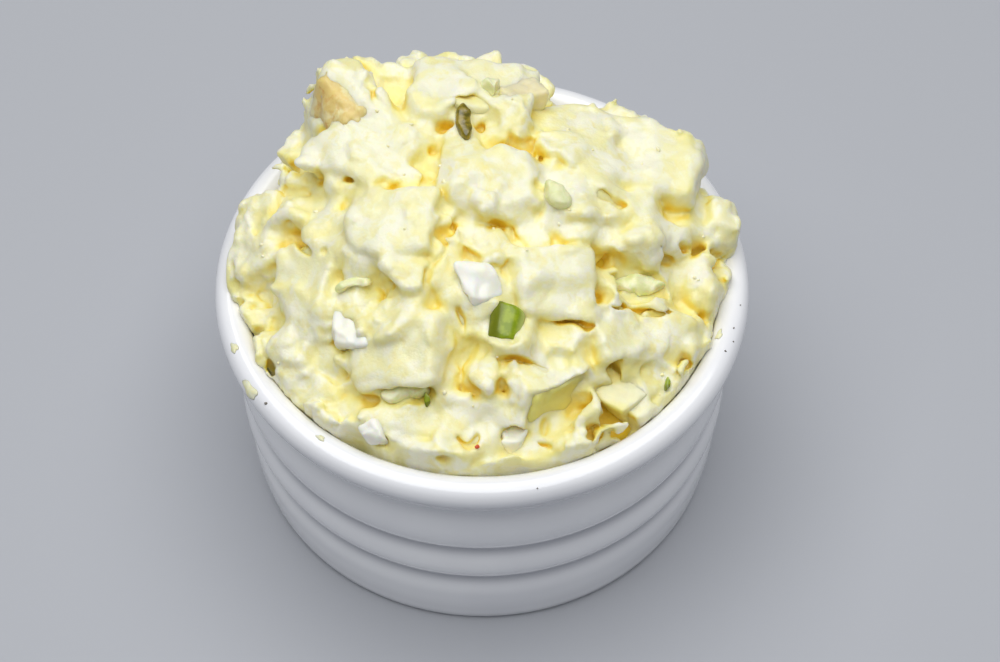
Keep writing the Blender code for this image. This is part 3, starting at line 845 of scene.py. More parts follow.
# %% Surface nets
CORNERS = np.array(list(np.ndindex(2, 2, 2)))
CORNER_PAIRS = [(a, b) for a in range(8) for b in range(a + 1, 8)]
CELL_EDGES = [(a, b) for a, b in CORNER_PAIRS if np.abs(CORNERS[a] - CORNERS[b]).sum() == 1]


def surface_net(field):
    """Points in millimetres and four-sided faces on the surface where the field is 0."""
    inside = field < 0
    size = np.array(field.shape) - 1
    count = np.zeros(size, np.int8)
    for a, b, c in CORNERS:
        count += inside[a:size[0] + a, b:size[1] + b, c:size[2] + c]
    crossed = (count > 0) & (count < 8)
    cells = np.argwhere(crossed)
    number = np.full(crossed.shape, -1, np.int64)
    number[crossed] = np.arange(len(cells))
    values = [field[tuple((cells + corner).T)] for corner in CORNERS]
    total, hits = np.zeros((len(cells), 3)), np.zeros(len(cells))
    for a, b in CELL_EDGES:
        apart = (values[a] < 0) != (values[b] < 0)
        share = np.where(apart, values[a] / np.where(apart, values[a] - values[b], 1), 0)[:, None]
        total += apart[:, None] * (CORNERS[a] + share * (CORNERS[b] - CORNERS[a]))
        hits += apart
    points = GRID_LOW + GRID_STEP * (cells + total / hits[:, None])
    faces = []
    for axis in range(3):
        other = [i for i in range(3) if i != axis]
        ahead = np.roll(inside, -1, axis)
        edges = np.argwhere(inside != ahead)
        within = (edges[:, other] > 0) & (edges[:, other] < size[other])
        edges = edges[(edges[:, axis] < size[axis]) & within.all(1)]
        u, v = np.eye(3, dtype=int)[other]
        ring = np.stack([number[tuple((edges - step).T)] for step in (0 * u, u, u + v, v)], 1)
        flip = inside[tuple(edges.T)] != (axis == 1)
        faces.append(np.where(flip[:, None], ring, ring[:, ::-1]))
    return points, np.vstack(faces)


net_points, net_faces = surface_net(FIELD)
print("the whole net:", len(net_points), "points")

# %% Leave out the loose scraps
def largest_piece(points, faces):
    """The largest joined piece: each point takes the lowest number that it is joined to."""
    label = np.arange(len(points))
    while True:
        least = label[faces].min(1)
        new = label.copy()
        np.minimum.at(new, faces.ravel(), np.repeat(least, faces.shape[1]))
        new = new[new]
        if (new == label).all():
            break
        label = new
    kept = label == np.bincount(label[faces[:, 0]]).argmax()
    renumber = np.cumsum(kept) - 1
    return points[kept], renumber[faces[kept[faces[:, 0]]]]


dressing_points, dressing_faces = largest_piece(net_points, net_faces)
print("dressing before thinning:", 2 * len(dressing_faces), "triangles")

# %% Helpers that make objects
def placed(name, data):
    """A new object in the scene, at the origin and unturned."""
    made = bpy.data.objects.new(name, data)
    bpy.context.scene.collection.objects.link(made)
    return made


def mesh_object(name, points, faces):
    """A smooth mesh object in metres from points in millimetres."""
    mesh = bpy.data.meshes.new(name)
    mesh.from_pydata((np.asarray(points) * MM).tolist(), [], np.asarray(faces).tolist())
    mesh.validate()
    mesh.shade_smooth()
    return placed(name, mesh)


def bmesh_object(name, bm):
    """A smooth mesh object from a bmesh, which is freed."""
    mesh = bpy.data.meshes.new(name)
    bm.to_mesh(mesh)
    bm.free()
    mesh.shade_smooth()
    return placed(name, mesh)


dressing = mesh_object("dressing", dressing_points, dressing_faces)
print("dressing as made:", len(dressing.data.vertices), "points")

# %% [markdown]
# ## Fewer faces where it is flat
#
# The grid gives small faces everywhere, also where the dressing is flat and large ones would do. The
# Decimate modifier merges faces where that changes the shape least, until the piece has a size that
# is easy to handle.

# %% Thin the mesh
DRESSING_TRIANGLES = 190000


def thinned(made, triangles):
    """Merges faces, the flattest first, until about that many triangles are left."""
    made.data.calc_loop_triangles()
    share = triangles / len(made.data.loop_triangles)
    if share < 1:
        modifier = made.modifiers.new("thin", "DECIMATE")
        modifier.ratio = share
        bpy.context.view_layer.update()
        evaluated = made.evaluated_get(bpy.context.evaluated_depsgraph_get())
        result = bpy.data.meshes.new_from_object(evaluated)
        made.modifiers.clear()
        made.data = result
    made.data.shade_smooth()
    return np.array([vert.co for vert in made.data.vertices], np.float32) / MM


dressing_points = thinned(dressing, DRESSING_TRIANGLES)
print("dressing after:", len(dressing.data.polygons), "faces", len(dressing_points), "points")

# %% [markdown]
# ## Where it is hollow, where it is thin
#
# Two numbers are kept for each point of the surface, and the materials read them. Hollow says how
# much of the nearby space is filled: in a crease the materials paint shade as a deeper yellow. Thin
# says where it is only a film over potato, which shows through.

# %% Hollow and thin
HOLLOW_REACHES = (0.8, 1.7, 3.2, 5.5)
THIN_DEPTH = 0.9


def hollow_at(points, normals):
    total = 0.0
    for reach in HOLLOW_REACHES:
        total = total + np.clip(1 - sampled(FIELD, points + reach * normals) / reach, 0, 2)
    return np.clip(total / len(HOLLOW_REACHES), 0, 1)


def keep_attribute(made, name, values):
    layer = made.data.attributes.new(name, "FLOAT", "POINT")
    layer.data.foreach_set("value", np.asarray(values, np.float32))


dressing_ways = outward(FIELD, dressing_points, 0.6)
dressing_hollow = hollow_at(dressing_points, dressing_ways)
dressing_thin = np.clip(1 - sampled(BARE_FIELD, dressing_points) / THIN_DEPTH, 0, 1)
keep_attribute(dressing, "hollow", dressing_hollow)
keep_attribute(dressing, "thin", dressing_thin)
print("mean hollow:", round(float(dressing_hollow.mean()), 3), "thin:", round(float(dressing_thin.mean()), 3))

# %% [markdown]
# ## Potato
#
# Each die is made from a finely divided cube whose points are slid along rays until they lie on the
# cut shape. A little noise leaves the knife marks and the mealy surface of boiled potato. A die that
# keeps its film of dressing is made a hair smaller, so that it never breaks through, and all of them
# are pulled in where they would show beyond the lip.

# %% From a cube to a cut shape
DIE_CUTS = 17


def divided_cube(cuts):
    """Points on a cube from -1 to 1, and its faces."""
    bm = bmesh.new()
    bmesh.ops.create_cube(bm, size=2.0)
    bmesh.ops.subdivide_edges(bm, edges=bm.edges, cuts=cuts, use_grid_fill=True)
    bm.verts.index_update()
    points = np.array([vert.co for vert in bm.verts], np.float32)
    faces = np.array([[vert.index for vert in face.verts] for face in bm.faces])
    bm.free()
    return points, faces


CUBE_POINTS, CUBE_FACES = divided_cube(DIE_CUTS)


def on_cut(cut, cube_points):
    """Slides the points of a cube along rays from the middle onto the cut shape."""
    rays = (cube_points * cut.half) @ cut.spin.T
    reach = np.maximum(rays @ cut.faces.T, 0)
    level = (reach**cut.power).sum(1) ** (1 / cut.power)
    return cut.middle + rays / level[:, None], rays / np.linalg.norm(rays, axis=1)[:, None]


print("points on one die:", len(CUBE_POINTS))

# %% Mealy, clear of the dish and inside the lip
LIP_COVER = 2.6
LIP_LEVEL = 44.0
KNIFE_SIZE, KNIFE_HEIGHT = 5.0, 0.30
MEAL_SIZE, MEAL_HEIGHT = 1.3, 0.14
FLAKE_SIZE, FLAKE_STEP, FLAKE_CREASE = 3.4, 0.16, 0.18


def mealy(points, ways, strength=1.0):
    """Pushes points out and in a little, as knife and pot leave them."""
    relief = KNIFE_HEIGHT * rough_noise(points, KNIFE_SIZE, 2, 1.5)
    relief = relief + MEAL_HEIGHT * rough_noise(points, MEAL_SIZE, 2, 6.5)
    relief += clump_relief(points, FLAKE_SIZE, FLAKE_STEP, FLAKE_CREASE, 12.0)
    return points + strength * ways * relief[:, None] - chipped(points)


def joined(parts):
    """Several sets of points and faces as one."""
    offsets = np.cumsum([0] + [len(points) for points, _ in parts])
    points = np.vstack([points for points, _ in parts])
    faces = np.vstack([faces + offset for (_, faces), offset in zip(parts, offsets)])
    return points, faces


def clear_of_dish(points):
    """Pulls points that would enter the rim up and in, until they are just clear of it."""
    points = points.copy()
    for _ in range(3):
        reach = np.hypot(points[:, 0], points[:, 1])
        short = DISH_CLEARANCE - away_from_dish(reach, points[:, 2])
        over_lip = points[:, 2] > LIP_LEVEL
        points[:, 2] += np.where((short > 0) & over_lip, short, 0)
        pull = np.where((short > 0) & ~over_lip, short / np.maximum(reach, 1), 0)
        points[:, :2] *= (1 - pull)[:, None]
    return points


def inside_lip(points):
    """Pulls points in that would show beyond the edge of the dressing."""
    reach = np.hypot(points[:, 0], points[:, 1])
    limit = lip_edge(np.degrees(np.arctan2(points[:, 1], points[:, 0]))) - LIP_COVER
    points[:, :2] *= np.minimum(1, limit / np.maximum(reach, 1))[:, None]
    return points


print("mealy by up to:", round(float(np.abs(mealy(CUBE_POINTS, CUBE_POINTS) - CUBE_POINTS).max()), 2), "mm")

# %% Dice as meshes
UNDER_FILM = 0.4
SKIN_ROUGHNESS = 1.8
# Painted shade: on the wedge, the side that faces this way, down and away from the light, takes the waxy
# yellow.
SHADED_WEDGE_SIDE = (-0.52, -0.84, -0.12)
LOOKS = {
    "plain": (0, 0, 0, 0), "tan": (1, 0, 0, 0), "skin": (0, 1, 0, 0), "waxy": (0, 0, 1, 0),
    "clear": (0, 0, 0, 1), "wedge": (0, 0, 0, 1),
}

potato_parts, potato_facts = [], []
for potato in POTATO:
    points, ways = on_cut(POTATO_CUTS[potato.name], CUBE_POINTS)
    points = mealy(points, ways, SKIN_ROUGHNESS if potato.look == "skin" else 1.0)
    if potato.look not in SHOWN_BARE:
        points -= UNDER_FILM * ways
    points = clear_of_dish(inside_lip(points))
    potato_parts.append((points, CUBE_FACES))
    facts = np.repeat([LOOKS[potato.look]], len(points), axis=0).astype(np.float32)
    if potato.look == "skin":
        facts[:, 1] = np.clip(4 * (ways @ np.array(BARE_SIDES["skin"])), 0, 1)
    if potato.look == "waxy":
        facts[:, 2] = on_front_face(POTATO_CUTS[potato.name], points)
    # Painted shade on the wedge's lower side; on the front cut the same colour is its own waxy cut face.
    if potato.look == "wedge":
        facts[:, 2] = np.clip(5 * (ways @ np.array(SHADED_WEDGE_SIDE)) - 2.2, 0, 1)
    potato_facts.append(facts)
potato_points, potato_faces = joined(potato_parts)
potato_dice = mesh_object("potato_dice", potato_points, potato_faces)
potato_facts = np.vstack(potato_facts)
for column, name in enumerate(("tan", "skin", "waxy", "clear")):
    keep_attribute(potato_dice, name, potato_facts[:, column])
# The hollow number lets the potato material paint shade where a die sits deep.
keep_attribute(potato_dice, "hollow", hollow_at(potato_points, outward(FIELD, potato_points, 1.0)))
print("potato:", len(POTATO), "dice", 2 * len(potato_faces), "triangles")

# %% [markdown]
# ## Egg white, celery, gherkin and green onion
#
# Egg white is cut like the potato but softer, so it is the same kind of shape with rounder edges.
# Celery slices, the gherkin and the green onion are all curved bars: a rounded section is carried
# round an arc and tapers at its ends. A slice that lies flat shows its C, and one that lies on its
# side shows its outer skin. Each is laid where the field says that the surface is.

# %% Bars bent round an arc
SECTION_POINTS = 20
SLANT = 0.35
Bar = namedtuple("Bar", "arc wall squash taper on_side")
BARS = {
    "celery_rod": Bar(90, 3.4, 0.8, 0.55, False),
    "celery_right": Bar(120, 3.6, 0.6, 0.7, False),
    "celery_front": Bar(120, 3.0, 0.8, 0.5, False),
    "celery_back": Bar(90, 2.4, 0.8, 0.5, False),
    "celery_arc": Bar(130, 1.5, 0.7, 0.4, False),
    "gherkin_back": Bar(105, 2.6, 0.6, 0.25, False),
    "gherkin_side": Bar(100, 1.5, 0.6, 0.3, False),
    "onion_front": Bar(125, 1.0, 0.85, 0.95, True),
    "onion_line": Bar(60, 0.9, 0.5, 0.4, False),
    "onion_sliver": Bar(70, 1.0, 0.5, 0.4, False),
}
print("bars:", len(BARS))

# %% How a bar lies, and its section
def lying_on_side(way, turn):
    """A turn that lays the bar's axis down the slope, with the outside of its bend upward."""
    out = Vector(way.tolist())
    down = Vector((0, 0, -1))
    down = (down - out * down.dot(out)).normalized()
    down.rotate(Matrix.Rotation(math.radians(turn), 3, out))
    across = out.cross(down)
    return np.array(Matrix((across, out, down)).transposed(), np.float32)


def section(wall, height, size):
    """The bar's rounded section, as steps outward and upward."""
    found = []
    for j in range(SECTION_POINTS):
        angle = 2 * math.pi * j / SECTION_POINTS
        c, s = math.cos(angle), math.sin(angle)
        side = math.copysign(abs(c) ** 0.6, c) * wall / 2 * size
        up = math.copysign(abs(s) ** 0.6, s) * height / 2 * size
        found.append((side, up))
    return found


print("first point of a section:", [round(v, 2) for v in section(3.0, 3.0, 1.0)[0]])

# %% The points of one bar
def bent_bar(bit, along=30):
    shape = BARS[bit.name]
    place, way = LAID[bit.name]
    middle_radius = max(bit.width - shape.wall, 0.6) / 2
    height = bit.depth if shape.on_side else bit.height
    rows = []
    for i in range(along + 1):
        share = i / along
        angle = math.pi / 2 + math.radians(shape.arc) * (share - 0.5)
        end = min(1.0, (1 - abs(2 * share - 1)) * 5)
        size = shape.taper + (1 - shape.taper) * math.sqrt(end)
        out = np.array((math.cos(angle), shape.squash * math.sin(angle), 0))
        centre = middle_radius * out
        out = out / np.linalg.norm(out)
        shorter = 1 - SLANT * (1 - share) if shape.on_side else 1
        ring = section(shape.wall, height, size)
        rows.append([centre + side * out + np.array((0, 0, up * shorter)) for side, up in ring])
    points = np.array(rows).reshape(-1, 3)
    points[:, 1] -= shape.squash * middle_radius * (1 if shape.on_side else 0.5)
    spin = lying_on_side(way, bit.turn) if shape.on_side else facing(way, bit.turn)
    faces = []
    for i in range(along):
        for j in range(SECTION_POINTS):
            k = (j + 1) % SECTION_POINTS
            a, b = i * SECTION_POINTS, (i + 1) * SECTION_POINTS
            faces.append((a + j, b + j, b + k, a + k))
    return points @ spin.T + place, faces


print("points on one bar:", len(bent_bar(CELERY[0])[0]))

# %% Celery, gherkin and green onion
def roughened(points, size, height, shift):
    noise = [rough_noise(points.astype(np.float32), size, 2, shift + 13 * i) for i in range(3)]
    return points + height * np.stack(noise, 1)


def closed_bars(name, bits, rough):
    """One object from bars, with their ends closed and their faces turned outward."""
    bm = bmesh.new()
    across = []
    for bit in bits:
        points, faces = bent_bar(bit)
        points = clear_of_dish(roughened(points, 1.8, rough, 2.0))
        across.append(np.linspace(0, 1, len(points)))
        verts = [bm.verts.new(point * MM) for point in points]
        for face in faces:
            bm.faces.new([verts[i] for i in face])
        bm.faces.new(verts[:SECTION_POINTS])
        bm.faces.new(verts[-SECTION_POINTS:])
    bmesh.ops.recalc_face_normals(bm, faces=bm.faces)
    made = bmesh_object(name, bm)
    keep_attribute(made, "across", np.concatenate(across))
    return made


celery = closed_bars("celery", CELERY, 0.34)
gherkin = closed_bars("gherkin", GHERKIN, 0.20)
green_onion = closed_bars("green_onion", GREEN_ONION, 0.16)
print("faces of the bars:", [len(made.data.polygons) for made in (celery, gherkin, green_onion)])

# %% Egg white
EGG_CUTS, EGG_ROUGH_SIZE, EGG_ROUGH = 15, 2.6, 0.55
SMALL_CUBE_POINTS, SMALL_CUBE_FACES = divided_cube(EGG_CUTS)
egg_parts = []
for bit in EGG_WHITE:
    cut = cut_shape(bit, power=6, tilt=0.3, knocks=4, place=LAID[bit.name][0])
    points, ways = on_cut(cut, SMALL_CUBE_POINTS)
    points = roughened(points, EGG_ROUGH_SIZE, EGG_ROUGH, 5.0)
    egg_parts.append((clear_of_dish(points), SMALL_CUBE_FACES))
egg_white = mesh_object("egg_white", *joined(egg_parts))
print("faces of the egg white:", len(egg_white.data.polygons))

# %% [markdown]
# ## Loose crumbs
#
# Crumbs of yolk and potato are scattered over the dressing, far too many to place by hand. Geometry
# Nodes scatter them: points are spread over the surface, fewer in the hollows, each gets a small
# ball of a random size and turn, and noise pushes the balls out of round. The seed is fixed, so the
# crumbs lie the same on every run.

# %% Node helpers
def tree_with(name, sockets):
    tree = bpy.data.node_groups.new(name, "GeometryNodeTree")
    tree.interface.new_socket("Geometry", in_out="INPUT", socket_type="NodeSocketGeometry")
    for label, kind, value in sockets:
        made = tree.interface.new_socket(label, in_out="INPUT", socket_type=kind)
        if value is not None:
            made.default_value = value
    tree.interface.new_socket("Geometry", in_out="OUTPUT", socket_type="NodeSocketGeometry")
    return tree


def node(tree, kind, label="", **settings):
    made = tree.nodes.new(kind)
    made.label = label
    for key, value in settings.items():
        setattr(made, key, value)
    return made


def calculated(tree, operation, first, second=None):
    made = node(tree, "ShaderNodeMath", operation=operation)
    for socket, value in zip(made.inputs, (first, second)):
        if isinstance(value, (int, float)):
            socket.default_value = value
        elif value is not None:
            tree.links.new(value, socket)
    return made.outputs[0]


def made_by_nodes(source, tree, settings):
    """Runs a tree on an object and gives the result as a plain mesh."""
    modifier = source.modifiers.new(tree.name, "NODES")
    modifier.node_group = tree
    for item in tree.interface.items_tree:
        if item.in_out == "INPUT" and item.name in settings:
            modifier[item.identifier] = settings[item.name]
    bpy.context.view_layer.update()
    evaluated = source.evaluated_get(bpy.context.evaluated_depsgraph_get())
    result = bpy.data.meshes.new_from_object(evaluated)
    source.modifiers.remove(modifier)
    print(tree.name, "made", len(result.vertices), "points")
    return result


print("trees so far:", len(bpy.data.node_groups))

# %% Where the crumbs lie
CRUMB_SOCKETS = [
    ("Per square metre", "NodeSocketFloat", 5000.0),
    ("Smallest", "NodeSocketFloat", 0.00025),
    ("Largest", "NodeSocketFloat", 0.00050),
    ("Out of round", "NodeSocketFloat", 0.0002),
    ("Seed", "NodeSocketInt", 5),
    ("Material", "NodeSocketMaterial", None),
]
print("named inputs:", [label for label, kind, value in CRUMB_SOCKETS])


def crumb_density(tree, given):
    """Fewer crumbs in the hollows, and as many per square metre as given in the open."""
    hollow = node(tree, "GeometryNodeInputNamedAttribute", data_type="FLOAT")
    hollow.inputs["Name"].default_value = "hollow"
    open_share = calculated(tree, "SUBTRACT", 0.75, hollow.outputs["Attribute"])
    open_share = calculated(tree, "MAXIMUM", calculated(tree, "MULTIPLY", open_share, 1.4), 0.0)
    return calculated(tree, "MULTIPLY", open_share, given.outputs["Per square metre"])


def crumb_places(tree, given):
    """Points spread over the faces that look upward."""
    normal = node(tree, "GeometryNodeInputNormal")
    parts = node(tree, "ShaderNodeSeparateXYZ")
    tree.links.new(normal.outputs[0], parts.inputs[0])
    upward = node(tree, "FunctionNodeCompare", data_type="FLOAT", operation="GREATER_THAN")
    tree.links.new(parts.outputs["Z"], upward.inputs["A"])
    upward.inputs["B"].default_value = 0.05
    spread = node(tree, "GeometryNodeDistributePointsOnFaces", "Spread over the dressing")
    tree.links.new(given.outputs["Geometry"], spread.inputs["Mesh"])
    tree.links.new(upward.outputs[0], spread.inputs["Selection"])
    tree.links.new(crumb_density(tree, given), spread.inputs["Density"])
    tree.links.new(given.outputs["Seed"], spread.inputs["Seed"])
    return spread.outputs["Points"]


# %% How large and how round each crumb is
SHORTEST_CRUMB, LONGEST_CRUMB = (0.7, 0.7, 0.5), (1.4, 1.2, 0.9)
PUSHES_PER_METRE = 1500.0
print("crumbs are stretched from", SHORTEST_CRUMB, "to", LONGEST_CRUMB)


def crumb_scale(tree, given):
    """A random size between the two given ones, stretched a little along each axis."""
    size = node(tree, "FunctionNodeRandomValue", "Size", data_type="FLOAT")
    tree.links.new(given.outputs["Smallest"], size.inputs["Min"])
    tree.links.new(given.outputs["Largest"], size.inputs["Max"])
    stretch = node(tree, "FunctionNodeRandomValue", "Stretch", data_type="FLOAT_VECTOR")
    stretch.inputs["Min"].default_value = SHORTEST_CRUMB
    stretch.inputs["Max"].default_value = LONGEST_CRUMB
    stretch.inputs["Seed"].default_value = 3
    scale = node(tree, "ShaderNodeVectorMath", operation="SCALE")
    tree.links.new(stretch.outputs["Value"], scale.inputs[0])
    tree.links.new(size.outputs[1], scale.inputs["Scale"])
    return scale.outputs[0]


def out_of_round(tree, given):
    """A small push for each point of a crumb, from noise."""
    noise = node(tree, "ShaderNodeTexNoise")
    noise.inputs["Scale"].default_value = PUSHES_PER_METRE
    position = node(tree, "GeometryNodeInputPosition")
    tree.links.new(position.outputs[0], noise.inputs["Vector"])
    centred = node(tree, "ShaderNodeVectorMath", operation="SUBTRACT")
    tree.links.new(noise.outputs["Color"], centred.inputs[0])
    centred.inputs[1].default_value = (0.5, 0.5, 0.5)
    push = node(tree, "ShaderNodeVectorMath", operation="SCALE")
    tree.links.new(centred.outputs[0], push.inputs[0])
    tree.links.new(given.outputs["Out of round"], push.inputs["Scale"])
    return push.outputs[0]


# %% The tree that scatters crumbs
def crumb_tree():
    tree = tree_with("Scatter crumbs", CRUMB_SOCKETS)
    given = node(tree, "NodeGroupInput")
    ball = node(tree, "GeometryNodeMeshIcoSphere", "One crumb")
    ball.inputs["Radius"].default_value = 1.0
    ball.inputs["Subdivisions"].default_value = 1
    turn = node(tree, "FunctionNodeRandomValue", "Turn", data_type="FLOAT_VECTOR")
    turn.inputs["Max"].default_value = (6.28, 6.28, 6.28)
    turn.inputs["Seed"].default_value = 7
    place = node(tree, "GeometryNodeInstanceOnPoints")
    tree.links.new(crumb_places(tree, given), place.inputs["Points"])
    tree.links.new(ball.outputs["Mesh"], place.inputs["Instance"])
    tree.links.new(turn.outputs["Value"], place.inputs["Rotation"])
    tree.links.new(crumb_scale(tree, given), place.inputs["Scale"])
    real = node(tree, "GeometryNodeRealizeInstances")
    tree.links.new(place.outputs[0], real.inputs[0])
    knock = node(tree, "GeometryNodeSetPosition", "Knock out of round")
    tree.links.new(real.outputs[0], knock.inputs["Geometry"])
    tree.links.new(out_of_round(tree, given), knock.inputs["Offset"])
    smooth = node(tree, "GeometryNodeSetShadeSmooth")
    tree.links.new(knock.outputs[0], smooth.inputs["Geometry"])
    paint = node(tree, "GeometryNodeSetMaterial")
    tree.links.new(smooth.outputs[0], paint.inputs["Geometry"])
    tree.links.new(given.outputs["Material"], paint.inputs["Material"])
    result = node(tree, "NodeGroupOutput")
    tree.links.new(paint.outputs[0], result.inputs["Geometry"])
    return tree


CRUMB_TREE = crumb_tree()
print("nodes in the tree:", len(CRUMB_TREE.nodes))

# %% [markdown]
# ## Smears and specks
#
# A used dish is never quite clean. A thin smear of dressing has dried on the outside of the rim at
# the front left, with three smaller ones along the rim, and a few dark specks lie there too. One
# orange-red speck of spice lies low at the front of the salad. A smear is a thin lens that follows
# the outline of the dish.

# %% Where the smears and specks are
Smear = namedtuple("Smear", "degrees reach height across down thickness")
SMEARS = [
    Smear(211.4, 44.6, 44.5, 2.1, 1.1, 0.32),
    Smear(200.4, 43.6, 45.3, 1.0, 0.7, 0.22),
    Smear(341.0, 41.6, 44.8, 1.1, 0.6, 0.25),
    Smear(232.0, 42.2, 45.3, 0.8, 0.5, 0.20),
]
Speck = namedtuple("Speck", "degrees reach height size")
DARK_SPECKS = [
    Speck(216.8, 43.9, 45.2, 0.26), Speck(343.5, 43.2, 45.4, 0.16), Speck(340.2, 43.8, 45.2, 0.14),
    Speck(336.9, 43.3, 45.4, 0.17), Speck(350.2, 43.5, 45.3, 0.12), Speck(281.0, 44.0, 45.1, 0.14),
]
SPICE_X, SPICE_Y, SPICE_Z, SPICE_SIZE = -1.1, -36.8, 47.1, 0.42
print("smears:", len(SMEARS), "specks:", len(DARK_SPECKS) + 1)

# %% Places along the outline
def nearest_on_outline(reach, height):
    away = np.hypot(DISH_CURVE[:, 0] - reach, DISH_CURVE[:, 1] - height)
    return int(away.argmin())


def outline_at(index, along):
    """The outline's place and its outward direction, a length along from one of its points."""
    run = np.concatenate([[0], np.cumsum(np.linalg.norm(np.diff(DISH_CURVE, axis=0), axis=1))])
    where = run[index] + along
    place = np.array([np.interp(where, run, DISH_CURVE[:, i]) for i in range(2)])
    ahead = np.array([np.interp(where + 0.2, run, DISH_CURVE[:, i]) for i in range(2)]) - place
    ahead /= np.linalg.norm(ahead)
    return place, np.array((-ahead[1], ahead[0]))


def around_axis(degrees, reach, height):
    around = math.radians(degrees)
    return reach * math.cos(around), reach * math.sin(around), height


top_place, top_way = outline_at(nearest_on_outline(42.3, RAMEKIN_HEIGHT), 0.0)
print("top of the rim:", [round(float(v), 1) for v in top_place], "faces", top_way.round(1))

# %% Smears
def smear_mesh(smear, rings=7, steps=28):
    index = nearest_on_outline(smear.reach, smear.height)
    rows = []
    for side in (1, -1):
        for ring in range(1, rings + 1) if side > 0 else range(rings - 1, 0, -1):
            for step in range(steps):
                angle = 2 * math.pi * step / steps
                wavy = 1 + 0.16 * math.sin(3 * angle + smear.degrees) + 0.10 * math.sin(5 * angle)
                share = ring / rings
                place, out = outline_at(index, smear.down * share * wavy * math.sin(angle))
                thick = smear.thickness * (1 - share**2) if side > 0 else 0.0
                reach, height = place + out * (thick + 0.01 * side)
                sideways = smear.across * share * wavy * math.cos(angle)
                degrees = smear.degrees + math.degrees(sideways / smear.reach)
                rows.append(around_axis(degrees, reach, height))
    for lift in (smear.thickness, -0.01):
        place, out = outline_at(index, 0.0)
        reach, height = place + out * lift
        rows.append(around_axis(smear.degrees, reach, height))
    return np.array(rows), rings, steps


def smear_object(name, smears):
    bm = bmesh.new()
    for smear in smears:
        rows, rings, steps = smear_mesh(smear)
        verts = [bm.verts.new(row * MM) for row in rows]
        loops = 2 * rings - 1
        for ring in range(loops - 1):
            for step in range(steps):
                a, b, k = ring * steps, (ring + 1) * steps, (step + 1) % steps
                bm.faces.new((verts[a + step], verts[b + step], verts[b + k], verts[a + k]))
        last = (loops - 1) * steps
        for step in range(steps):
            k = (step + 1) % steps
            bm.faces.new((verts[-2], verts[step], verts[k]))
            bm.faces.new((verts[-1], verts[last + k], verts[last + step]))
    bmesh.ops.recalc_face_normals(bm, faces=bm.faces)
    return bmesh_object(name, bm)


rim_smears = smear_object("rim_smears", SMEARS)
print("faces of the smears:", len(rim_smears.data.polygons))

# %% Specks
def speck_part(place, size, name):
    grain = Lumpy(name, *place, 2 * size, 1.6 * size, 1.2 * size, 30, 10, 0)
    points, _ = on_cut(cut_shape(grain, power=4, tilt=0.5, knocks=3), TINY_CUBE_POINTS)
    return points, TINY_CUBE_FACES


TINY_CUBE_POINTS, TINY_CUBE_FACES = divided_cube(3)
speck_parts = []
for speck in DARK_SPECKS:
    place, out = outline_at(nearest_on_outline(speck.reach, speck.height), 0.0)
    reach, height = place + out * speck.size * 0.3
    place = around_axis(speck.degrees, reach, height)
    speck_parts.append(speck_part(place, speck.size, f"speck_{speck.degrees}"))
dark_specks = mesh_object("dark_specks", *joined(speck_parts))
spice_place, _ = on_surface(SPICE_X, SPICE_Y, 0.1, FIELD, SPICE_Z)
spice_place = tuple(map(float, spice_place))
spice_speck = mesh_object("spice_speck", *speck_part(spice_place, SPICE_SIZE, "spice"))
print("faces of the dark specks:", len(dark_specks.data.polygons))

# %% [markdown]
# ## The core
#
# Under the visible pieces the bowl is simply full. A plain turned plug fills it from the floor of the
# dish to below the surface, so that no gap in the heap ever shows an empty bowl. It is marked as wholly
# hollow, so it is painted in the deepest golden shade.

# %% Core
CORE_COLUMNS = 72
CORE_DROP = 4.0
CORE_GAP = 0.6
CORE_TOP_RINGS = 14
CORE_WALL = [(32.0, FLOOR_THICKNESS + CORE_GAP), (35.6, 8.4), (37.2, 12.0), (38.8, 36.0), (39.0, 40.5)]


def core():
    rings = [(radius - CORE_GAP, height) for radius, height in CORE_WALL]
    lip_radius = rings[-1][0]
    shares = [i / CORE_TOP_RINGS for i in range(1, CORE_TOP_RINGS)]
    rings += [(lip_radius * math.cos(math.pi / 2 * share), None) for share in shares]
    points = []
    for radius, height in rings:
        for i in range(CORE_COLUMNS):
            x = radius * math.cos(2 * math.pi * i / CORE_COLUMNS)
            y = radius * math.sin(2 * math.pi * i / CORE_COLUMNS)
            points.append((x, y, float(heap_height(x, y)) - CORE_DROP if height is None else height))
    points += [(0, 0, FLOOR_THICKNESS + CORE_GAP), (0, 0, float(heap_height(0.0, 0.0)) - CORE_DROP)]
    bm = bmesh.new()
    verts = [bm.verts.new(np.array(point) * MM) for point in points]
    for ring in range(len(rings) - 1):
        for i in range(CORE_COLUMNS):
            a, b, j = ring * CORE_COLUMNS, (ring + 1) * CORE_COLUMNS, (i + 1) % CORE_COLUMNS
            bm.faces.new((verts[a + i], verts[a + j], verts[b + j], verts[b + i]))
    top = (len(rings) - 1) * CORE_COLUMNS
    for i in range(CORE_COLUMNS):
        j = (i + 1) % CORE_COLUMNS
        bm.faces.new((verts[-2], verts[j], verts[i]))
        bm.faces.new((verts[-1], verts[top + i], verts[top + j]))
    return bmesh_object("core", bm)


salad_core = core()
# The plug counts as wholly hollow, so the dressing material paints it in its deepest golden shade.
keep_attribute(salad_core, "hollow", np.ones(len(salad_core.data.vertices)))
keep_attribute(salad_core, "thin", np.zeros(len(salad_core.data.vertices)))
print("core:", len(salad_core.data.polygons), "faces")

# %% [markdown]
# ## The ramekin
#
# A potter turns it, so Geometry Nodes turn it here: a flat grid is bent round the axis, and each of
# its points reads its reach and height from the outline. A Screw modifier would do as well; the nodes
# keep the number of steps and rings as named inputs and end in a plain mesh.

# %% Each point of the clay reads its place from the outline
TURNING_SOCKETS = [
    ("Steps", "NodeSocketInt", 160),
    ("Rings", "NodeSocketInt", 330),
    ("Glaze", "NodeSocketMaterial", None),
]
print("named inputs:", [label for label, kind, value in TURNING_SOCKETS])


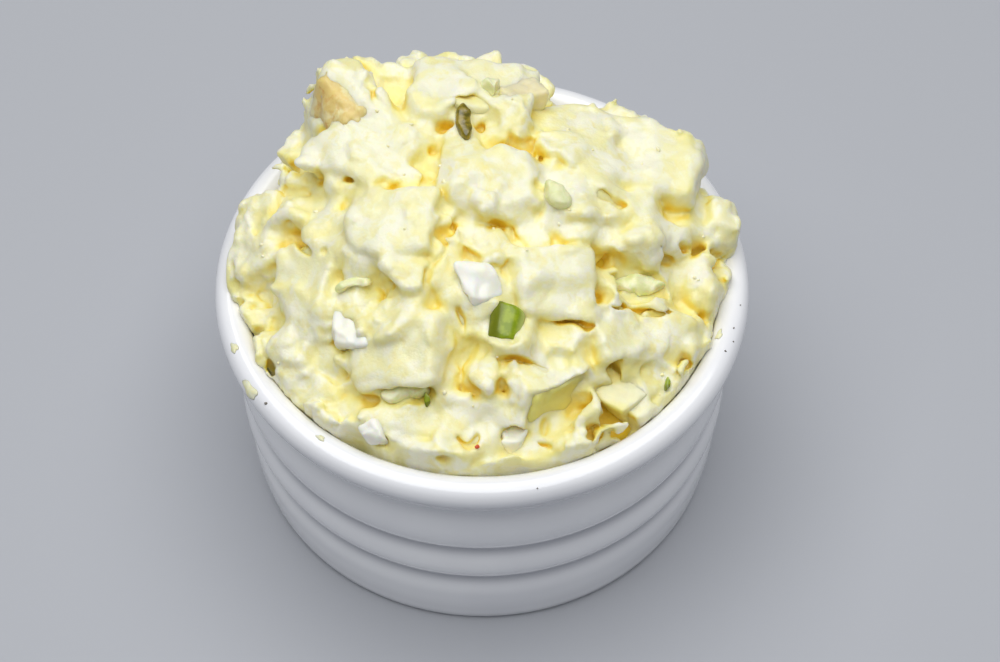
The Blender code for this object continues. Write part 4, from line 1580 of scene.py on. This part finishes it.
def flat_clay(tree, given):
    grid = node(tree, "GeometryNodeMeshGrid", "Flat clay")
    grid.inputs["Size X"].default_value = 1.0
    grid.inputs["Size Y"].default_value = 1.0
    tree.links.new(given.outputs["Rings"], grid.inputs["Vertices X"])
    tree.links.new(given.outputs["Steps"], grid.inputs["Vertices Y"])
    return grid.outputs["Mesh"]


def turned_places(tree, given):
    """X of the grid runs down the outline, and Y round the axis."""
    outline = node(tree, "GeometryNodeMeshToCurve", "Outline")
    tree.links.new(given.outputs["Geometry"], outline.inputs["Mesh"])
    position = node(tree, "GeometryNodeInputPosition")
    split = node(tree, "ShaderNodeSeparateXYZ")
    tree.links.new(position.outputs[0], split.inputs[0])
    down_outline = calculated(tree, "ADD", split.outputs["X"], 0.5)
    around = calculated(tree, "MULTIPLY", calculated(tree, "ADD", split.outputs["Y"], 0.5), 2 * math.pi)
    read = node(tree, "GeometryNodeSampleCurve", "Read the outline", mode="FACTOR", use_all_curves=True)
    tree.links.new(outline.outputs[0], read.inputs["Curves"])
    tree.links.new(down_outline, read.inputs["Factor"])
    at = node(tree, "ShaderNodeSeparateXYZ")
    tree.links.new(read.outputs["Position"], at.inputs[0])
    place = node(tree, "ShaderNodeCombineXYZ")
    for name, wave in (("X", "COSINE"), ("Y", "SINE")):
        turned = calculated(tree, "MULTIPLY", at.outputs["X"], calculated(tree, wave, around))
        tree.links.new(turned, place.inputs[name])
    tree.links.new(at.outputs["Z"], place.inputs["Z"])
    return place.outputs[0]


# %% The tree that turns the dish
def turning_tree():
    tree = tree_with("Turn on the wheel", TURNING_SOCKETS)
    given = node(tree, "NodeGroupInput")
    bend = node(tree, "GeometryNodeSetPosition", "Bend round the axis")
    tree.links.new(flat_clay(tree, given), bend.inputs["Geometry"])
    tree.links.new(turned_places(tree, given), bend.inputs["Position"])
    close = node(tree, "GeometryNodeMergeByDistance", "Close the seam")
    close.inputs["Distance"].default_value = 0.000005
    tree.links.new(bend.outputs[0], close.inputs["Geometry"])
    smooth = node(tree, "GeometryNodeSetShadeSmooth")
    tree.links.new(close.outputs[0], smooth.inputs["Geometry"])
    real = node(tree, "GeometryNodeRealizeInstances")
    tree.links.new(smooth.outputs[0], real.inputs["Geometry"])
    paint = node(tree, "GeometryNodeSetMaterial")
    tree.links.new(real.outputs[0], paint.inputs["Geometry"])
    tree.links.new(given.outputs["Glaze"], paint.inputs["Material"])
    result = node(tree, "NodeGroupOutput")
    tree.links.new(paint.outputs[0], result.inputs["Geometry"])
    return tree


TURNING_TREE = turning_tree()
print("nodes in the tree:", len(TURNING_TREE.nodes))

# %% [markdown]
# ## Materials
#
# Boiled potato, egg and dressing let light in and scatter it, so each has subsurface scattering with a
# reach of a millimetre or so. The dressing is pale where it is thick and lit, with a deeper yellow painted
# into the hollows as shade, and moist, so it has small soft highlights. The glaze is white, hard and
# glossy, with grey shade painted in the grooves and under the roll of the rim.

# %% A new material, noise and attributes
def new_material(name, roughness, coat=0.0, scatter=0.0, scatter_reach=(1.0, 0.7, 0.3), ior=1.45):
    made = bpy.data.materials.new(name)
    made.use_nodes = True
    shader = made.node_tree.nodes["Principled BSDF"]
    shader.inputs["Roughness"].default_value = roughness
    shader.inputs["IOR"].default_value = ior
    shader.inputs["Coat Weight"].default_value = coat
    shader.inputs["Coat Roughness"].default_value = 0.12
    shader.inputs["Subsurface Weight"].default_value = scatter
    shader.inputs["Subsurface Radius"].default_value = scatter_reach
    shader.inputs["Subsurface Scale"].default_value = 0.001
    return made, made.node_tree, shader


def noise_texture(tree, size_mm, detail=3.0, roughness=0.5, distortion=0.0):
    """Noise whose features are about that many millimetres across."""
    where = tree.nodes.new("ShaderNodeTexCoord")
    made = tree.nodes.new("ShaderNodeTexNoise")
    made.inputs["Scale"].default_value = 1000 / size_mm
    made.inputs["Detail"].default_value = detail
    made.inputs["Roughness"].default_value = roughness
    made.inputs["Distortion"].default_value = distortion
    tree.links.new(where.outputs["Object"], made.inputs["Vector"])
    return made.outputs["Fac"]


def stretched(tree, value, low, high, to_low=0.0, to_high=1.0):
    made = tree.nodes.new("ShaderNodeMapRange")
    made.interpolation_type = "SMOOTHSTEP"
    for name, number in (("From Min", low), ("From Max", high), ("To Min", to_low), ("To Max", to_high)):
        made.inputs[name].default_value = number
    tree.links.new(value, made.inputs["Value"])
    return made.outputs["Result"]


def attribute(tree, name):
    made = tree.nodes.new("ShaderNodeAttribute")
    made.attribute_name = name
    return made.outputs["Fac"]


print("materials so far:", len(bpy.data.materials))

# %% Colours and relief
def mixed(tree, share, first, second):
    """Two colours mixed by a share; each is a colour or the output of another mix."""
    made = tree.nodes.new("ShaderNodeMix")
    made.data_type = "RGBA"
    tree.links.new(share, made.inputs["Factor"])
    for socket, colour in ((made.inputs["A"], first), (made.inputs["B"], second)):
        if isinstance(colour, tuple):
            socket.default_value = (*colour, 1.0)
        else:
            tree.links.new(colour, socket)
    return made.outputs["Result"]


def times(tree, first, second):
    return calculated(tree, "MULTIPLY", first, second)


def plus(tree, first, second):
    return calculated(tree, "ADD", first, second)


def bumped(tree, shader, height, distance_mm, strength=1.0):
    made = tree.nodes.new("ShaderNodeBump")
    made.inputs["Strength"].default_value = strength
    made.inputs["Distance"].default_value = distance_mm * MM
    tree.links.new(height, made.inputs["Height"])
    tree.links.new(made.outputs["Normal"], shader.inputs["Normal"])


def srgb(red, green, blue):
    """A colour as a painter names it, from 0 to 255, made linear for the shader."""
    shares = [value / 255 for value in (red, green, blue)]
    return tuple(((v + 0.055) / 1.055) ** 2.4 if v > 0.04 else v / 12.92 for v in shares)


print("cream, as the shader has it:", [round(v, 2) for v in srgb(254, 249, 222)])

# %% Dressing
def painted_hollow_shade(tree, colour, hollow):
    """Paints shade: a colour turns yellow, and then golden, as it goes from open places into the hollows."""
    colour = mixed(tree, stretched(tree, hollow, 0.08, 0.45, 0.0, 0.75), colour, srgb(250, 238, 152))
    colour = mixed(tree, stretched(tree, hollow, 0.38, 0.80, 0.0, 0.80), colour, srgb(246, 220, 86))
    return mixed(tree, stretched(tree, hollow, 0.74, 1.00, 0.0, 0.85), colour, srgb(236, 198, 38))


def dressing_material():
    made, tree, shader = new_material("creamy_dressing", 0.42, 0.22, 0.65, (1.7, 1.5, 0.8))
    patches = stretched(tree, noise_texture(tree, 7.0, 4.0, 0.6, 0.8), 0.42, 0.62)
    colour = mixed(tree, patches, srgb(254, 249, 222), srgb(250, 241, 182))
    flecks = stretched(tree, noise_texture(tree, 2.4, 3.0, 0.6, 0.5), 0.50, 0.68)
    colour = mixed(tree, times(tree, flecks, 0.45), colour, srgb(246, 230, 138))
    pale = stretched(tree, noise_texture(tree, 3.7, 3.0, 0.6, 0.4), 0.56, 0.68)
    colour = mixed(tree, times(tree, pale, 0.60), colour, srgb(255, 252, 230))
    colour = mixed(tree, times(tree, attribute(tree, "thin"), 0.5), colour, srgb(252, 247, 212))
    # Painted shade: the hollows of the dressing are painted a deeper yellow and gold.
    colour = painted_hollow_shade(tree, colour, attribute(tree, "hollow"))
    tree.links.new(colour, shader.inputs["Base Color"])
    grain = plus(tree, noise_texture(tree, 1.5, 4.0, 0.6), times(tree, noise_texture(tree, 0.45, 2.0), 0.4))
    bumped(tree, shader, grain, 0.34, 0.50)
    return made


DRESSING = dressing_material()
print("nodes in the dressing:", len(DRESSING.node_tree.nodes))


# %% Potato
def potato_material():
    made, tree, shader = new_material("boiled_potato", 0.38, 0.22, 0.65, (1.8, 1.6, 0.9))
    patches = stretched(tree, noise_texture(tree, 7.0, 4.0, 0.6, 0.5), 0.36, 0.64)
    colour = mixed(tree, patches, srgb(252, 247, 212), srgb(248, 239, 186))
    colour = mixed(tree, times(tree, attribute(tree, "clear"), 0.7), colour, srgb(248, 242, 196))
    # The waxy yellow of the bare cut face, which on the wedge is painted shade on its lower side.
    colour = mixed(tree, times(tree, attribute(tree, "waxy"), 0.95), colour, srgb(250, 237, 128))
    colour = mixed(tree, times(tree, attribute(tree, "tan"), 0.7), colour, srgb(244, 229, 184))
    spots = stretched(tree, noise_texture(tree, 2.4, 4.0, 0.65, 0.4), 0.52, 0.68)
    skin = mixed(tree, spots, srgb(236, 210, 132), srgb(220, 172, 88))
    pale = stretched(tree, noise_texture(tree, 3.4, 3.0, 0.6), 0.48, 0.64)
    skin = mixed(tree, pale, skin, srgb(246, 232, 176))
    # Painted shade: the potato too turns yellow and golden in the hollows.
    colour = painted_hollow_shade(tree, colour, times(tree, attribute(tree, "hollow"), 0.8))
    colour = mixed(tree, attribute(tree, "skin"), colour, skin)
    tree.links.new(colour, shader.inputs["Base Color"])
    grain = plus(tree, noise_texture(tree, 1.6, 4.0, 0.65), times(tree, noise_texture(tree, 0.5, 2.0), 0.4))
    bumped(tree, shader, grain, 0.26, 0.5)
    return made


BOILED_POTATO = potato_material()
print("nodes in the potato:", len(BOILED_POTATO.node_tree.nodes))

# %% The small pieces and the glaze
def plain_food_material(name, first, second, size_mm, roughness, coat, scatter):
    made, tree, shader = new_material(name, roughness, coat=coat, scatter=scatter)
    patches = stretched(tree, noise_texture(tree, size_mm, 4.0, 0.6, 0.4), 0.36, 0.64)
    tree.links.new(mixed(tree, patches, first, second), shader.inputs["Base Color"])
    bumped(tree, shader, noise_texture(tree, size_mm / 4, 3.0, 0.6), 0.10, 0.5)
    return made


def green_material():
    """Green onion: painted shade along one edge, and a painted highlight at the other."""
    made, tree, shader = new_material("green_onion", 0.30, 0.3, 0.3, (1.0, 1.0, 0.3))
    across = attribute(tree, "across")
    blotches = stretched(tree, noise_texture(tree, 1.6, 3.0, 0.6), 0.40, 0.62)
    fresh = mixed(tree, blotches, srgb(136, 158, 6), srgb(162, 180, 30))
    # Painted shade: darker green along the edge where the across share is high.
    colour = mixed(tree, stretched(tree, across, 0.55, 0.72), fresh, srgb(112, 122, 4))
    # Painted highlight: pale at the other edge.
    colour = mixed(tree, stretched(tree, across, 0.30, 0.08, 0.0, 0.60), colour, srgb(212, 220, 140))
    tree.links.new(colour, shader.inputs["Base Color"])
    bumped(tree, shader, noise_texture(tree, 0.7, 3.0, 0.6), 0.10, 0.5)
    return made


def glaze_material():
    made, tree, shader = new_material("white_glaze", 0.16, coat=0.6, scatter=0.0, ior=1.5)
    cloud = stretched(tree, noise_texture(tree, 26.0, 3.0, 0.5), 0.35, 0.65)
    glaze = mixed(tree, cloud, srgb(250, 251, 254), srgb(245, 246, 250))
    # Painted shade: the glaze turns grey under the roll of the rim and in the two grooves, where shade falls.
    glaze = mixed(tree, times(tree, attribute(tree, "pooled"), 0.72), glaze, srgb(128, 131, 146))
    tree.links.new(glaze, shader.inputs["Base Color"])
    bumped(tree, shader, noise_texture(tree, 7.0, 2.0, 0.5), 0.06, 0.35)
    return made


EGG = plain_food_material("egg_white", srgb(255, 255, 242), srgb(255, 254, 232), 3.0, 0.42, 0.15, 0.5)
CRISP_CELERY = plain_food_material("celery", srgb(246, 247, 206), srgb(228, 233, 172), 2.2, 0.36, 0.3, 0.6)
PICKLE = plain_food_material("gherkin", srgb(158, 138, 30), srgb(98, 90, 12), 1.8, 0.16, 0.8, 0.15)
GREEN = green_material()
CRUMB = plain_food_material("yolk_crumb", srgb(255, 252, 226), srgb(253, 245, 186), 2.6, 0.5, 0.1, 0.0)
SMEAR = plain_food_material("dried_smear", srgb(248, 245, 208), srgb(244, 238, 184), 2.0, 0.35, 0.3, 0.3)
DARK = plain_food_material("dark_speck", srgb(128, 122, 112), srgb(96, 90, 82), 0.6, 0.5, 0.1, 0.0)
SPICE = plain_food_material("spice_speck", srgb(226, 96, 40), srgb(200, 64, 30), 0.5, 0.4, 0.2, 0.1)
GLAZE = glaze_material()
print("materials:", [material.name for material in bpy.data.materials])

# %% [markdown]
# ## Crumbs and paint
#
# With the materials made, the crumbs can be laid, and each piece gets its own material.

# %% Lay the crumbs and paint the pieces
loose_crumbs_mesh = made_by_nodes(dressing, CRUMB_TREE, {"Material": CRUMB})
loose_crumbs = placed("loose_crumbs", loose_crumbs_mesh)
print("crumbs:", len(loose_crumbs_mesh.polygons) // 20, "triangles:", len(loose_crumbs_mesh.polygons))
SALAD_PIECES = (
    (dressing, DRESSING), (salad_core, DRESSING), (potato_dice, BOILED_POTATO), (egg_white, EGG),
    (celery, CRISP_CELERY), (gherkin, PICKLE), (green_onion, GREEN), (loose_crumbs, CRUMB),
    (rim_smears, SMEAR), (dark_specks, DARK), (spice_speck, SPICE),
)
for piece, material in SALAD_PIECES:
    piece.data.materials.clear()
    piece.data.materials.append(material)
print("painted:", len(SALAD_PIECES), "pieces")

# %% [markdown]
# ## Turn the dish
#
# The outline is laid as a line of edges, and the nodes turn it. Under the roll of the rim and in
# the two grooves, where shade falls, a number is kept for the material, which paints grey shade there.

# %% Turn the ramekin
outline_mesh = bpy.data.meshes.new("ramekin_dish")
outline_places = [(r * MM, 0.0, z * MM) for r, z in DISH_CURVE]
outline_mesh.from_pydata(outline_places, [(i, i + 1) for i in range(len(DISH_CURVE) - 1)], [])
ramekin_dish = placed("ramekin_dish", outline_mesh)
ramekin_dish.data = made_by_nodes(ramekin_dish, TURNING_TREE, {"Steps": 145, "Rings": 300, "Glaze": GLAZE})
bm = bmesh.new()
bm.from_mesh(ramekin_dish.data)
bmesh.ops.recalc_face_normals(bm, faces=bm.faces)
print("ramekin volume in cm3:", round(bm.calc_volume() * 1e6, 1), "triangles:", 2 * len(bm.faces))
bm.to_mesh(ramekin_dish.data)
bm.free()
ramekin_dish.data.shade_smooth()

# %% Mark where grey shade is painted on the glaze
# Painted shade: grey bands under the roll of the rim and in the two grooves, each given by its height, spread
# and strength.
Pool = namedtuple("Pool", "height spread depth")
SHADE_BANDS = [Pool(39.2, 2.7, 1.0), Pool(23.8, 1.3, 0.8), Pool(14.2, 1.3, 0.8)]
OUTSIDE_REACH = 40.5
dish_points = np.array([vert.co for vert in ramekin_dish.data.vertices]) / MM
outside = np.hypot(dish_points[:, 0], dish_points[:, 1]) > OUTSIDE_REACH
pooled = np.zeros(len(dish_points))
for shade_band in SHADE_BANDS:
    pooled += shade_band.depth * np.exp(-(((dish_points[:, 2] - shade_band.height) / shade_band.spread) ** 2))
keep_attribute(ramekin_dish, "pooled", np.where(outside, pooled, 0.0))
print("pooled glaze, most:", round(float(pooled.max()), 2))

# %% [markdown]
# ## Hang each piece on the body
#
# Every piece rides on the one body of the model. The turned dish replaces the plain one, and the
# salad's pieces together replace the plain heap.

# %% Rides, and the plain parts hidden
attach(ramekin_dish, "root")
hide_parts("ramekin")
for piece, _ in SALAD_PIECES:
    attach(piece, "root")
    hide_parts("potato_salad")
print("pieces of the salad:", [piece.name for piece, _ in SALAD_PIECES])

# %% [markdown]
# ## Floor, light and camera
#
# A plain pale floor, one large soft light straight above, and a faint even light from all round that
# keeps the shadows open. The camera stands where the ellipses of the rim and the foot put it.

# %% Floor
FLOOR_COLOUR = (0.47, 0.485, 0.52, 1.0)
FLOOR_HALF = 3

floor_mesh = bpy.data.meshes.new("floor")
floor_corners = [(x * FLOOR_HALF, y * FLOOR_HALF, 0) for x, y in ((-1, -1), (1, -1), (1, 1), (-1, 1))]
floor_mesh.from_pydata(floor_corners, [], [(0, 1, 2, 3)])
floor = placed("floor", floor_mesh)
floor_material, _, floor_shader = new_material("pale_floor", 0.7)
floor_shader.inputs["Base Color"].default_value = FLOOR_COLOUR
floor_mesh.materials.append(floor_material)
print("floor, metres across:", 2 * FLOOR_HALF)

# %% Camera
CAMERA_PLACE = (0.0, -0.247109, 0.363477)
CAMERA_AIM = (0.00726191, 0.59370172, -0.80465243)
CAMERA_LENS = 86.256

camera_data = bpy.data.cameras.new("camera")
camera_data.sensor_width = 36.0
camera_data.lens = CAMERA_LENS
camera_data.clip_start = 0.01
camera = placed("camera", camera_data)
camera.location = CAMERA_PLACE
camera.rotation_euler = Vector(CAMERA_AIM).to_track_quat("-Z", "Y").to_euler()
bpy.context.scene.camera = camera
print("camera at:", CAMERA_PLACE, "lens in mm:", CAMERA_LENS)

# %% Light
LIGHT_PLACE, LIGHT_AIM = (-0.03, 0.01, 0.80), (0.0, 0.0, 0.05)
LIGHT_SIZE, LIGHT_POWER = 0.95, 7.1
WORLD_COLOUR = (0.92, 0.95, 1.0, 1.0)
WORLD_STRENGTH = 0.19

light_data = bpy.data.lights.new("above", "AREA")
light_data.size = LIGHT_SIZE
light_data.energy = LIGHT_POWER
light = placed("above", light_data)
light.location = LIGHT_PLACE
light.rotation_euler = (Vector(LIGHT_AIM) - Vector(LIGHT_PLACE)).to_track_quat("-Z", "Y").to_euler()
world = bpy.data.worlds.new("studio")
world.use_nodes = True
background = world.node_tree.nodes["Background"]
background.inputs["Color"].default_value = WORLD_COLOUR
background.inputs["Strength"].default_value = WORLD_STRENGTH
bpy.context.scene.world = world
bpy.context.scene.view_settings.view_transform = "Standard"
print("lights:", len(bpy.data.lights), "and an even", WORLD_STRENGTH, "from all round")
